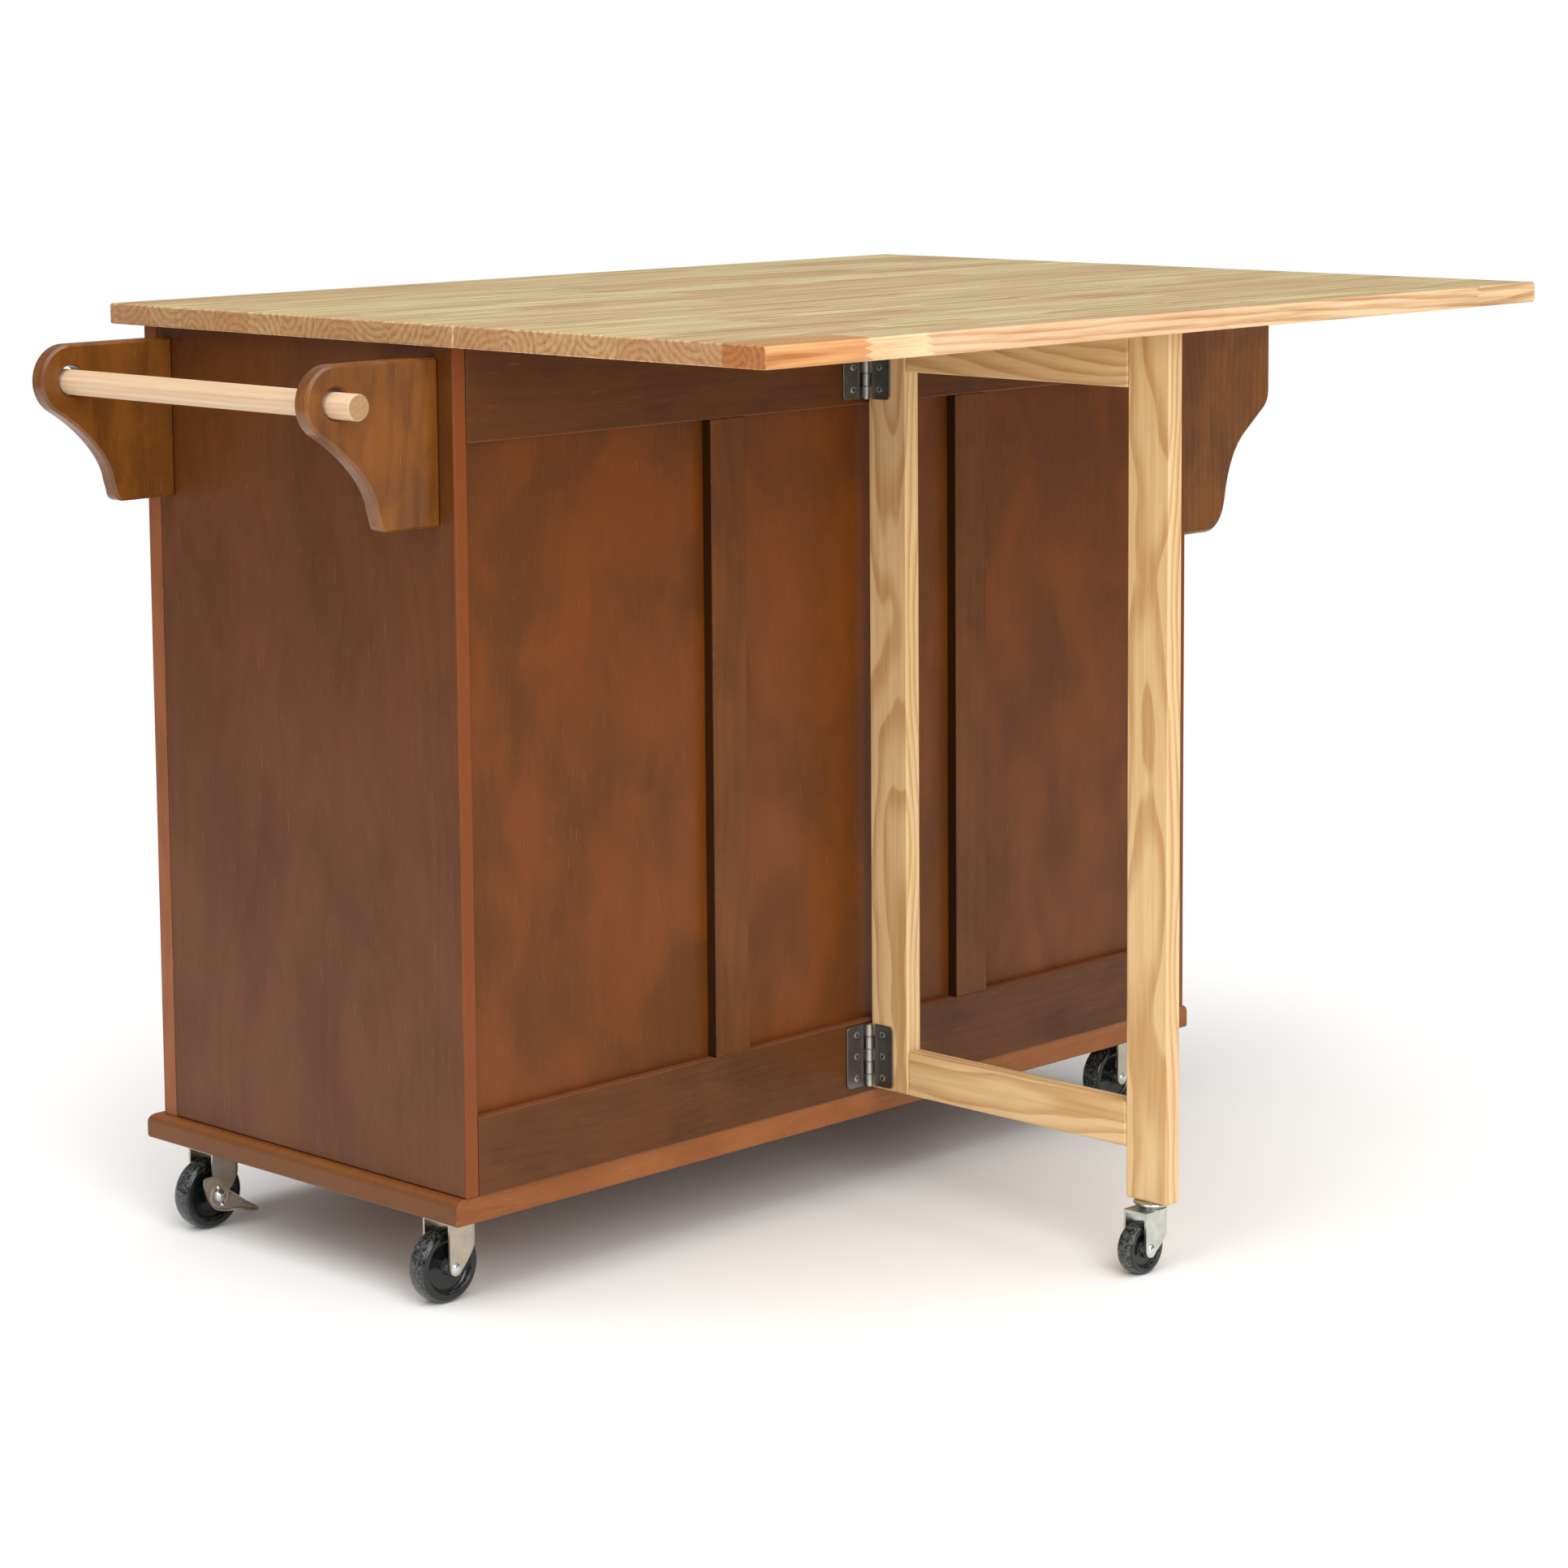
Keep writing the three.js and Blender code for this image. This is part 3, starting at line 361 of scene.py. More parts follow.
# %% Pine, beech and plywood
for seed, (node, axes) in enumerate((("gate_hinge_stile", "ZYX"), ("gate_outer_leg", "ZYX"),
                                     ("gate_top_rail", "YZX"), ("gate_bottom_rail", "YZX"))):
    finishes[node] = clear_wood(
        "pine_satin_lacquer_" + node, axes, seed + 0.3, "dcbb8a", "b3824c",
        pith_behind(node, axes, 14 * MM, 48 * MM), drift=90 * MM, ring=8 * MM, contrast=0.55,
        streak=0.25, roughness=0.42, gloss=0.3)
finishes["dowel_wood"] = clear_wood(
    "turned_beech_dowel_satin_lacquer", "YXZ", 1.7, "dbbd9c", "bc9770",
    pith_behind("towel_bar", "YXZ", 20 * MM, 30 * MM), drift=20 * MM, ring=5 * MM, contrast=0.3,
    roughness=0.42, tones=[("Y", "c3b49b", 1.0, "MULTIPLY")])
finishes["inner_wood"] = clear_wood(
    "drawer_plywood_matt_lacquer", "YZX", 8.2, "d6b483", "bd9562", (0.5, 0.35), drift=90 * MM,
    ring=14 * MM, contrast=0.35, streak=0.25, roughness=0.55, gloss=0.2)
print("clear woods", len(finishes))

# %% [markdown]
# ## Stained and lacquered wood
# The cabinet is light hardwood and veneer under a brown wiping stain and a semi-gloss lacquer. A
# stain soaks in unevenly, so the eye sees soft blotches as large as a hand. The rings below them
# are faint, with short fine flecks where the fibres took less stain. Where the stain was rubbed
# off an arris, a thin line of paler wood shows, broken up every 8 mm or so. Stain also lies deeper
# or thinner on the narrow edges of a board, so each finish can tone the faces that look one way;
# some of these tones are painted shade or a painted highlight instead, as said where they are set.

# %% Stained wood
STAINED_FIBRE = 26 * MM, 0.9 * MM
STAINED_STREAK = 170 * MM, 11 * MM
ARRIS_REACH = 1.1 * MM
ARRIS_TURN = 0.9, 0.985
ARRIS_WEAR = 0.55
PATCHES_PER_METRE = 130.0


def stained_wood(name, axes, seed, light, dark, pith, drift=90 * MM, ring=11 * MM,
                 rings_amount=0.2, streak=0.5, blotch=0.5, blotch_size=70 * MM, fleck=0.25,
                 worn="b98a63", roughness=0.36, gloss=0.22, tones=()):
    """Light and dark are where little and much stain soaked in, and worn is the bare wood."""
    material, tree, shader = new_material(name)
    rings = growth_rings(tree, axes, pith, drift, ring, seed)
    place = rings["place"]
    fibres = wood_fibres(tree, place, *STAINED_FIBRE)
    broad = wood_fibres(tree, place, *STAINED_STREAK)
    drawn = add(tree, "VectorMath", (place, (0.6 / blotch_size, 1 / blotch_size, 1 / blotch_size)),
                operation="MULTIPLY")
    cloud = add(tree, "TexNoise", {"Vector": drawn, "Scale": 1.0, "Detail": 3.0, "Roughness": 0.5,
                                   "Distortion": 0.4})
    blotches = add(tree, "MapRange", (cloud, 0.32, 0.68, 0.0, blotch),
                   interpolation_type="SMOOTHSTEP")
    shade = add(tree, "Math", (ring_shade(tree, rings["count"]), rings_amount, blotches),
                operation="MULTIPLY_ADD")
    shade = deepen(tree, shade, broad, streak)
    shade = deepen(tree, shade, fibres, FIBRE_DEPTH, True)
    colour = add(tree, "Mix", {SHARE: shade, BELOW: linear(light), ABOVE: linear(dark)}, MIXED,
                 data_type="RGBA")
    flecks = add(tree, "MapRange", (fibres, 0.6, 0.74, 0.0, fleck),
                 interpolation_type="SMOOTHSTEP")
    colour = add(tree, "Mix", {SHARE: flecks, BELOW: colour, ABOVE: linear(worn)}, MIXED,
                 data_type="RGBA")
    for tone in tones:
        colour = toned_faces(tree, colour, *tone)

    flat = add(tree, "NewGeometry", out="Normal")
    rounded = add(tree, "Bevel", {"Radius": ARRIS_REACH}, samples=3)
    turn = add(tree, "VectorMath", (rounded, flat), "Value", operation="DOT_PRODUCT")
    near_edge = add(tree, "MapRange", (turn, *ARRIS_TURN, ARRIS_WEAR, 0.0),
                    interpolation_type="SMOOTHSTEP")
    patches = add(tree, "TexNoise", {"Vector": place, "Scale": PATCHES_PER_METRE, "Detail": 3.0})
    broken = add(tree, "MapRange", (patches, 0.54, 0.66), interpolation_type="SMOOTHSTEP")
    rubbed = add(tree, "Math", (near_edge, broken), operation="MULTIPLY")
    colour = add(tree, "Mix", {SHARE: rubbed, BELOW: colour, ABOVE: linear(worn)}, MIXED,
                 data_type="RGBA")

    sheen = add(tree, "MapRange", (cloud, 0.3, 0.7, roughness - 0.04, roughness + 0.06))
    bump = add(tree, "Bump", {"Height": fibres, "Strength": 0.25, "Distance": 0.08 * MM})
    plug(tree, shader, {"Base Color": colour, "Roughness": sheen, "Normal": bump, "IOR": 1.5,
                        "Specular IOR Level": gloss})
    return material


# %% [markdown]
# The stain was wiped on board by board. The back panels came out the most orange, the end panels
# browner, and the narrow faces of the base paler or darker than their wide ones. The faces of the
# rails that look up and down are paler and greyer as a painted highlight, and the sides of the
# muntins nearly black as painted shade for the gaps beside them.

# %% Stains of the cabinet
brown = dict(light="623616", dark="42240a", drift=150 * MM, roughness=0.34, blotch=0.45,
             blotch_size=110 * MM, rings_amount=0.14, streak=0.4)
finishes["brown_upright"] = stained_wood("brown_stained_veneer", "ZYX", 3.3, pith=(-0.2, 0.3),
                                         **brown)
finishes["end_panel"] = stained_wood(
    "brown_stained_end_panel", "ZYX", 1.3, pith=pith_behind("end_panel_towel", "ZYX", 0.0, 0.25),
    tones=[("Y", "7e4019", 0.85)], **brown)
finishes["back_panel"] = stained_wood(
    "orange_brown_stained_veneer", "ZXY", 6.4, "723b0f", "522d0b", (0.1, 0.3), drift=150 * MM,
    rings_amount=0.06, streak=0.2, blotch=0.7, blotch_size=80 * MM)
# Painted highlight: the rails' up and down faces are toned paler and greyer, for the light along
# their tops.
finishes["brown_lengthwise"] = stained_wood(
    "brown_stained_rail", "XZY", 7.7, "5d3413", "3e2209", (0.5, 0.15), rings_amount=0.14,
    tones=[("Z", "8e5742", 0.7)])
# Painted shade: the muntins' sides are darkened nearly to black, for the shade in the gaps beside
# them.
finishes["muntin"] = stained_wood(
    "brown_stained_muntin_painted_side_shade", "ZXY", 9.1, "6c3c13", "4a290a", (0.1, 0.1), rings_amount=0.14,
    tones=[("X", "221006", 0.85)])
finishes["base_stain"] = stained_wood(
    "light_brown_stained_base", "XYZ", 5.6, "93582c", "723f1c", (-0.15, 0.0), worn="d9b394",
    tones=[("X", "603a1d", 0.75), ("Z", "6a3d1c", 0.6)])
finishes["bracket"] = stained_wood(
    "red_brown_stained_bracket", "ZXY", 4.4, "7c4917", "4f290a", (0.62, 0.09), blotch_size=40 * MM,
    fleck=0.5, roughness=0.26, gloss=0.5)
print("finishes with the brown stains", len(finishes))

# %% [markdown]
# The front is a redder brown. Each door and drawer front is cut from a board of its own, so its
# pith lies behind its own middle and no two fronts show the same flame.

# %% Stains of the front
red = dict(light="8f5330", dark="6b3a1b", blotch=0.4, rings_amount=0.16, streak=0.4)
finishes["red_upright"] = stained_wood("red_brown_stained_frame", "ZXY", 2.9, pith=(0.1, -0.2),
                                       **red)
finishes["red_lengthwise"] = stained_wood("red_brown_stained_rail", "XZY", 6.9, pith=(0.5, -0.2),
                                          **red)
for seed, (node, axes) in enumerate((
        ("door_towel", "ZXY"), ("door_spice", "ZXY"), ("drawer_front_upper", "XZY"),
        ("drawer_front_middle", "XZY"), ("drawer_front_lower", "XZY"))):
    finishes[node] = stained_wood("red_brown_stained_" + node, axes, seed + 0.6,
                                  pith=pith_behind(node, axes, 15 * MM, 80 * MM), **red)
finishes["knob"] = stained_wood(
    "red_brown_stained_turned_knob", "YXZ", 3.1, "8a4f2b", "643618", (0.02, 0.5), drift=30 * MM,
    ring=4 * MM, roughness=0.28)
print("finishes with the red stains", len(finishes))

# %% [markdown]
# ## Metal and moulded wheels
# The large casters are stamped steel under satin nickel, the gate's caster is bright zinc, and the
# hinges are dull steel with brighter knuckles, whose brighter colour is partly a painted highlight.
# Plating shows fine scratches that run one way and change its roughness and, a little, its relief.
# Real ones are too fine to show, so these are drawn 0.7 mm wide. A slight tarnish darkens the
# colour in clouds of about 11 mm.

# %% Plated steel
SCRATCH_WIDTH, SCRATCH_LENGTH = 0.7 * MM, 12 * MM
CLOUDS_PER_METRE = 90.0


def plated(name, colour, roughness, scratch):
    material, tree, shader = new_material(name)
    place = add(tree, "TexCoord", out="Object")
    drawn = add(tree, "VectorMath",
                (place, (1 / SCRATCH_WIDTH, 1 / SCRATCH_WIDTH, 1 / SCRATCH_LENGTH)),
                operation="MULTIPLY")
    lines = add(tree, "TexNoise", {"Vector": drawn, "Scale": 1.0, "Detail": 3.0, "Roughness": 0.6})
    gloss = add(tree, "MapRange", (lines, 0.3, 0.7, roughness, roughness + scratch))
    clouds = add(tree, "TexNoise", {"Vector": place, "Scale": CLOUDS_PER_METRE, "Detail": 2.0})
    tarnish = add(tree, "MapRange", (clouds, 0.3, 0.75, 0.8, 1.0))
    tinted = add(tree, "Mix", {SHARE: 1.0, BELOW: linear(colour), ABOVE: tarnish}, MIXED,
                 data_type="RGBA", blend_type="MULTIPLY")
    bump = add(tree, "Bump", {"Height": lines, "Strength": 0.2, "Distance": 0.03 * MM})
    plug(tree, shader, {"Base Color": tinted, "Roughness": gloss, "Normal": bump, "Metallic": 1.0})
    return material


# The knuckle steel is brighter than the hinge plates partly as a painted highlight.
for key, label, colour, roughness, scratch in (
        ("nickel", "satin_nickel_plated_steel", "c9bfae", 0.3, 0.14),
        ("zinc", "bright_zinc_plated_steel", "d3d6d0", 0.24, 0.16),
        ("hinge_steel", "dull_steel_hinge", "7d7c79", 0.28, 0.18),
        ("hinge_pin", "knuckle_steel_partly_painted_highlight", "b4b4b0", 0.22, 0.12),
        ("rivet_zinc", "bright_zinc_rivet", "dfe3e2", 0.18, 0.12),
        ("screw_steel", "zinc_plated_screw", "c6c5bf", 0.2, 0.14),
        ("screw_recess_painted_shade", "recess_painted_shade", "2a2826", 0.5, 0.2)):
    finishes[key] = plated(label, colour, roughness, scratch)
print("finishes with the metals", len(finishes))

# %% [markdown]
# The wheels are black moulded plastic. Their sides stay glossy, while the tread has picked up a
# mottled pale dust from the floor, so the dust follows the faces that look away from the axle.
# Real dust is too fine to show, so it is drawn in specks of about 3 mm.

# %% Moulded black plastic
TREAD_TURN = 0.3, 0.75
TREAD_DUST, SIDE_DUST = 0.36, 0.03
SPECKS_PER_METRE = 330.0


def moulded_black(name, roughness):
    material, tree, shader = new_material(name)
    place = add(tree, "TexCoord", out="Object")
    facing = add(tree, "SeparateXYZ", (add(tree, "TexCoord", out="Normal"),)).node.outputs["Y"]
    sideways = add(tree, "Math", (facing,), operation="ABSOLUTE")
    tread = add(tree, "MapRange", (sideways, *TREAD_TURN, TREAD_DUST, SIDE_DUST),
                interpolation_type="SMOOTHSTEP")
    scuff = add(tree, "TexNoise", {"Vector": place, "Scale": SPECKS_PER_METRE, "Detail": 5.0,
                                   "Roughness": 0.8})
    marked = add(tree, "MapRange", (scuff, 0.4, 0.7), interpolation_type="SMOOTHSTEP")
    dust = add(tree, "Math", (marked, tread), operation="MULTIPLY")
    colour = add(tree, "Mix", {SHARE: dust, BELOW: linear("0b0e0f"), ABOVE: linear("9aa19d")},
                 MIXED, data_type="RGBA")
    gloss = add(tree, "MapRange", (dust, 0.0, 0.5, roughness, roughness + 0.4))
    bump = add(tree, "Bump", {"Height": scuff, "Strength": 0.12, "Distance": 0.05 * MM})
    plug(tree, shader, {"Base Color": colour, "Roughness": gloss, "Normal": bump, "IOR": 1.5})
    return material


finishes["black_wheel"] = moulded_black("black_moulded_wheel", 0.16)
print("finishes", len(finishes))

# %% [markdown]
# ## Which way the grain runs
# A joiner lays the grain along the length of every piece. The boards that show most have a finish
# of their own. The record's slots say which stain the others have, so only the pieces that lie
# another way or took the stain another way are named here.

# %% Finish of every node
FINISH_OF_SLOT = {"brown_stain": "brown_upright", "red_stain": "red_upright"}
FINISH_OF_NODE = {
    "back_rail_top": "brown_lengthwise", "back_rail_bottom": "brown_lengthwise",
    "back_muntin_towel": "muntin", "back_muntin_spice": "muntin",
    "end_panel_towel": "end_panel", "end_panel_spice": "end_panel",
    "towel_bracket_back": "bracket", "towel_bracket_front": "bracket",
    "spice_side_back": "bracket", "spice_side_front": "bracket",
}


def finish_of(node):
    """A finish made for the node itself, or else one named for it, or the one of its slot."""
    if node in finishes:
        return finishes[node]
    slot = slot_of[node]
    return finishes[FINISH_OF_NODE.get(node, FINISH_OF_SLOT.get(slot, slot))]


for node, solid in frame["nodes"].items():
    solid.data.materials.clear()
    solid.data.materials.append(finish_of(node))
print("solids with a finish", len(frame["nodes"]))

# %% [markdown]
# ## Making a piece
# Every new piece is shaped in bmesh, closed, given smooth shading and handed to a body of the CAD
# model. Edges that turn sharply stay sharp, and the weighted normals keep wide faces flat right up
# to their rounded edges, which is what makes a highlight run along an arris.

# %% Finishing a piece
SAME_PLACE = 0.001 * MM


def close_piece(name, shape, body, finish, stands_for=(), sharp=40):
    """Turns a bmesh into a finished object that rides on a body and may stand for CAD nodes.

    Finish is a material, the name of a finish or a list of names, and sharp the least angle in
    degrees that shading doesn't smooth."""
    bmesh.ops.remove_doubles(shape, verts=shape.verts, dist=SAME_PLACE)
    bmesh.ops.recalc_face_normals(shape, faces=shape.faces)
    mesh = bpy.data.meshes.new(name)
    shape.to_mesh(mesh)
    shape.free()
    mesh.shade_smooth()
    mesh.set_sharp_from_angle(angle=math.radians(sharp))
    made = bpy.data.objects.new(name, mesh)
    bpy.context.collection.objects.link(made)
    for one in finish if isinstance(finish, (list, tuple)) else [finish]:
        mesh.materials.append(finishes[one] if isinstance(one, str) else one)
    weights = made.modifiers.new("flat_faces", "WEIGHTED_NORMAL")
    weights.keep_sharp = True
    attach(made, body)
    if stands_for:
        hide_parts(*stands_for)
    return made


# %% [markdown]
# Three kinds of shape make nearly every piece: a box with rounded edges, like a board, a profile
# spun round an axis, like a knob off the lathe, and a stamping whose corners are cut round.

# %% Rounding, boxes and turned shapes
def round_edges(shape, edges, radius, segments):
    bmesh.ops.bevel(shape, geom=edges, offset=radius, offset_type="OFFSET", segments=segments,
                    profile=0.5, affect="EDGES", material=-1, clamp_overlap=True)


def soften(shape, radius, segments=2, angle=30):
    """Rounds every edge that turns more than an angle."""
    round_edges(shape, [edge for edge in shape.edges
                        if edge.calc_face_angle(0) > math.radians(angle)], radius, segments)


def edges_along(shape, direction):
    """The edges that run along a direction."""
    return [edge for edge in shape.edges
            if abs((edge.verts[0].co - edge.verts[1].co).normalized().dot(direction)) > 0.9]


def box_shape(low, high):
    """A bmesh box between two corners."""
    shape = bmesh.new()
    size, middle = Vector(high) - Vector(low), (Vector(high) + Vector(low)) / 2
    bmesh.ops.create_cube(shape, size=1.0,
                          matrix=Matrix.Translation(middle) @ Matrix.Diagonal((*size, 1)))
    return shape


def spun(profile, centre, axis, steps=48):
    """A turned shape. The profile is (radius, height) in millimetres along the axis."""
    shape = bmesh.new()
    axis = Vector(axis)
    out = axis.orthogonal().normalized()
    points = [shape.verts.new(Vector(centre) + out * r * MM + axis * h * MM) for r, h in profile]
    chain = [shape.edges.new(pair) for pair in zip(points, points[1:])]
    bmesh.ops.spin(shape, geom=points + chain, cent=centre, axis=axis, dvec=(0, 0, 0),
                   angle=math.tau, steps=steps, use_merge=True)
    bmesh.ops.remove_doubles(shape, verts=shape.verts, dist=SAME_PLACE)
    return shape


def merge_shapes(*shapes):
    """Several closed shapes as one bmesh."""
    whole = shapes[0]
    for other in shapes[1:]:
        spare = bpy.data.meshes.new("spare")
        other.to_mesh(spare)
        other.free()
        whole.from_mesh(spare)
        bpy.data.meshes.remove(spare)
    return whole


# %% [markdown]
# ## Boards with eased edges
# A joiner breaks every arris with a few strokes of sandpaper, more on the racks than on the panels.
# The solids have plain 45 degree chamfers, so a copy of each is merged, its flat triangles are
# joined into whole faces, and a small bevel on the chamfers turns them into rounded edges.

# %% Eased copies of the wooden solids
SAME_CORNER = 0.01 * MM
EASE = {
    "main_top": 0.6, "drop_leaf": 0.6, "base_board": 0.4, "end_panel_towel": 0.5,
    "end_panel_spice": 0.5, "back_rail_top": 0.35, "back_rail_bottom": 0.35,
    "back_muntin_towel": 0.35, "back_muntin_spice": 0.35, "shelf_towel": 0.35, "shelf_spice": 0.35,
    "spice_shelf_upper": 0.7, "spice_shelf_lower": 0.7, "spice_rail": 0.5, "spice_side_back": 0.9,
    "spice_side_front": 0.9, "towel_bracket_back": 0.9, "towel_bracket_front": 0.9,
    "gate_hinge_stile": 0.5, "gate_outer_leg": 0.5, "gate_top_rail": 0.5, "gate_bottom_rail": 0.5,
}


def merged_copy(node):
    """A bmesh of a CAD node with its doubles merged and its flat triangles joined."""
    shape = bmesh.new()
    shape.from_mesh(frame["nodes"][node].data)
    bmesh.ops.remove_doubles(shape, verts=shape.verts, dist=SAME_CORNER)
    bmesh.ops.dissolve_limit(shape, angle_limit=math.radians(0.5), verts=shape.verts,
                             edges=shape.edges)
    return shape


for node, radius in EASE.items():
    copy = merged_copy(node)
    soften(copy, radius * MM)
    close_piece(node + "_eased", copy, body_of[node], finish_of(node), [node])
print("eased boards", len(EASE))

# %% [markdown]
# ## Face frame
# The front of the cabinet is framed by stiles that run its whole height with rails butted between
# them. Separate boards show where the grain turns at each joint.

# %% Stiles and rails
INSET_GAP = 2 * MM
frame_low, frame_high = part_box("face_frame")
fronts = {name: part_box(name) for name in (
    "door_towel", "door_spice", "drawer_front_upper", "drawer_front_middle", "drawer_front_lower")}
open_low = fronts["door_towel"][0].z - INSET_GAP
open_high = fronts["door_towel"][1].z + INSET_GAP
stile_lines = [
    frame_low.x, fronts["door_spice"][0].x + INSET_GAP, fronts["door_spice"][1].x + INSET_GAP,
    fronts["drawer_front_upper"][0].x - INSET_GAP, fronts["drawer_front_upper"][1].x + INSET_GAP,
    fronts["door_towel"][0].x - INSET_GAP, fronts["door_towel"][1].x - INSET_GAP, frame_high.x]


def frame_board(name, x0, x1, z0, z1, finish):
    shape = box_shape((x0, frame_low.y, z0), (x1, frame_high.y, z1))
    soften(shape, 0.7 * MM)
    close_piece("face_frame_" + name, shape, "cabinet", finish, ["face_frame"])


for index in range(4):
    frame_board(f"stile_{index}", stile_lines[2 * index], stile_lines[2 * index + 1],
                frame_low.z, frame_high.z, "red_upright")
for index in range(3):
    left, right = stile_lines[2 * index + 1], stile_lines[2 * index + 2]
    frame_board(f"top_rail_{index}", left, right, open_high, frame_high.z, "red_lengthwise")
    frame_board(f"bottom_rail_{index}", left, right, frame_low.z, open_low, "red_lengthwise")
for above, below in (("upper", "middle"), ("middle", "lower")):
    frame_board("drawer_rail_" + above, stile_lines[3], stile_lines[4],
                fronts["drawer_front_" + below][1].z + INSET_GAP,
                fronts["drawer_front_" + above][0].z - INSET_GAP, "red_lengthwise")
print("face frame bays", [round(v, 3) for v in stile_lines])

# %% [markdown]
# ## Doors
# A raised panel door is a frame with a moulded inner edge and a panel whose borders slope down into
# a groove. Starting from a slab, each step of that section is one inset of the front face: how
# far it goes in and how far it sinks, in millimetres. The moulding starts a little before the
# stile's inner edge. The frame is then cut along the stiles' edges, so that the rails can have
# their own grain. On its hinge side a door leaves room for the barrels.

# %% Raised panel doors
DOOR_STILE = 55 * MM
DOOR_MOULDING = 7.2
DOOR_SECTION = ((0.6, 0.8), (1.6, 1.4), (1.8, 2.4), (1.0, 2.4), (2.0, 0), (1.2, 0.4), (9, -1.6),
                (9, -1.8), (4.8, -1.6), (1.2, -0.9))
BARREL_ROOM = 4 * MM


def inset(shape, face, thickness, depth):
    """Insets one face in millimetres; a positive depth sinks it."""
    bmesh.ops.inset_region(shape, faces=[face], thickness=thickness * MM, depth=-depth * MM,
                           use_even_offset=True, use_boundary=True)


def front_of(shape):
    """The face that looks out of the cabinet's front."""
    return min(shape.faces, key=lambda face: face.calc_center_median().y)


def door(end, side):
    """Makes the door at one end, hung on the given side, and gives back its two edges."""
    low, high = fronts["door_" + end]
    x0 = low.x + (BARREL_ROOM if side < 0 else 0)
    x1 = high.x - (BARREL_ROOM if side > 0 else 0)
    shape = box_shape((x0, frame_low.y, low.z), (x1, frame_high.y, high.z))
    soften(shape, 1.2 * MM)
    face = front_of(shape)
    inset(shape, face, DOOR_STILE / MM - DOOR_MOULDING, 0)
    for thickness, depth in DOOR_SECTION:
        inset(shape, face, thickness, depth)
    for line in (x0 + DOOR_STILE, x1 - DOOR_STILE):
        bmesh.ops.bisect_plane(shape, geom=shape.verts[:] + shape.edges[:] + shape.faces[:],
                               plane_co=(line, 0, 0), plane_no=(1, 0, 0))
    for piece in shape.faces:
        spot = piece.calc_center_median()
        rail = x0 + DOOR_STILE < spot.x < x1 - DOOR_STILE
        border = spot.z < low.z + DOOR_STILE or spot.z > high.z - DOOR_STILE
        piece.material_index = 1 if rail and border else 0
    close_piece("door_panelled_" + end, shape, "door_" + end, ["door_" + end, "red_lengthwise"],
                ["door_" + end])
    return x0, x1


# %% [markdown]
# ## Knobs and door hinges
# The knobs are turned from hardwood and stained with the rest. The door hinges show only their
# barrels, closed with a small finial at each end.

# %% Knobs and barrels
KNOB_SECTION = ((0, -1), (9.4, -1), (9.4, 0.6), (8.2, 1.6), (6.9, 3.2), (6.6, 5.5), (7.4, 8.2),
                (10, 11.2), (13.6, 13.6), (15.6, 16.2), (16, 18.8), (15.3, 21.4), (13, 23.6),
                (9.4, 25.1), (5, 25.8), (0, 26))
KNOB_INSET = 28 * MM
KNOB_DROP = 170 * MM
BARREL_SECTION = ((0, -28), (1.4, -27.6), (2.2, -26.6), (1.6, -25.6), (3, -25), (3, -0.2),
                  (2.6, 0), (3, 0.2), (3, 25), (1.6, 25.6), (2.2, 26.6), (1.4, 27.6), (0, 28))
BARREL_PROUD = 3.3 * MM
STRAP_SIZE = 2 * MM, 15 * MM, 50 * MM
HINGE_INSET = 90 * MM


def knob(name, x, z, body, stands_for):
    shape = spun(KNOB_SECTION, (x, frame_low.y, z), (0, -1, 0), 40)
    close_piece("knob_" + name, shape, body, "knob", [stands_for], 60)


def door_hinge(name, x, z, body):
    """A barrel in front of the gap beside a door, on a strap that runs back into the gap."""
    pin = (x, frame_low.y - BARREL_PROUD, z)
    barrel = spun(BARREL_SECTION, pin, (0, 0, 1), 24)
    thickness, depth, length = STRAP_SIZE
    strap = box_shape((x - thickness / 2, pin[1], z - length / 2),
                      (x + thickness / 2, frame_low.y + depth, z + length / 2))
    close_piece("hinge_barrel_" + name, merge_shapes(barrel, strap), body, "hinge_steel",
                ())


# %% [markdown]
# Each door has its knob near the top of its free side and two barrels on the other, and each drawer
# front has its knob in the middle.

# %% Doors and drawer fronts in place
for end, side in (("towel", 1), ("spice", -1)):
    x0, x1 = door(end, side)
    low, high = fronts["door_" + end]
    free, hung = (x0, x1) if side > 0 else (x1, x0)
    knob("door_" + end, free + side * KNOB_INSET, high.z - KNOB_DROP, "door_" + end, "door_" + end)
    for place, z in (("lower", low.z + HINGE_INSET), ("upper", high.z - HINGE_INSET)):
        door_hinge(f"{end}_{place}", hung + side * INSET_GAP / 2, z, "door_" + end)

for level in ("upper", "middle", "lower"):
    node = "drawer_front_" + level
    low, high = fronts[node]
    slab = box_shape((low.x, frame_low.y, low.z), (high.x, frame_high.y, high.z))
    soften(slab, 1.6 * MM, 3)
    close_piece(node + "_slab", slab, "drawer_" + level, node, [node])
    knob(node, (low.x + high.x) / 2, (low.z + high.z) / 2, "drawer_" + level, node)
print("doors and drawers dressed")

# %% [markdown]
# ## Towel bar
# A turned beech dowel, left loose in holes a little larger than itself, so it rests on the lower
# edge of each hole and a dark gap shows above it. Its ends have a small chamfer.

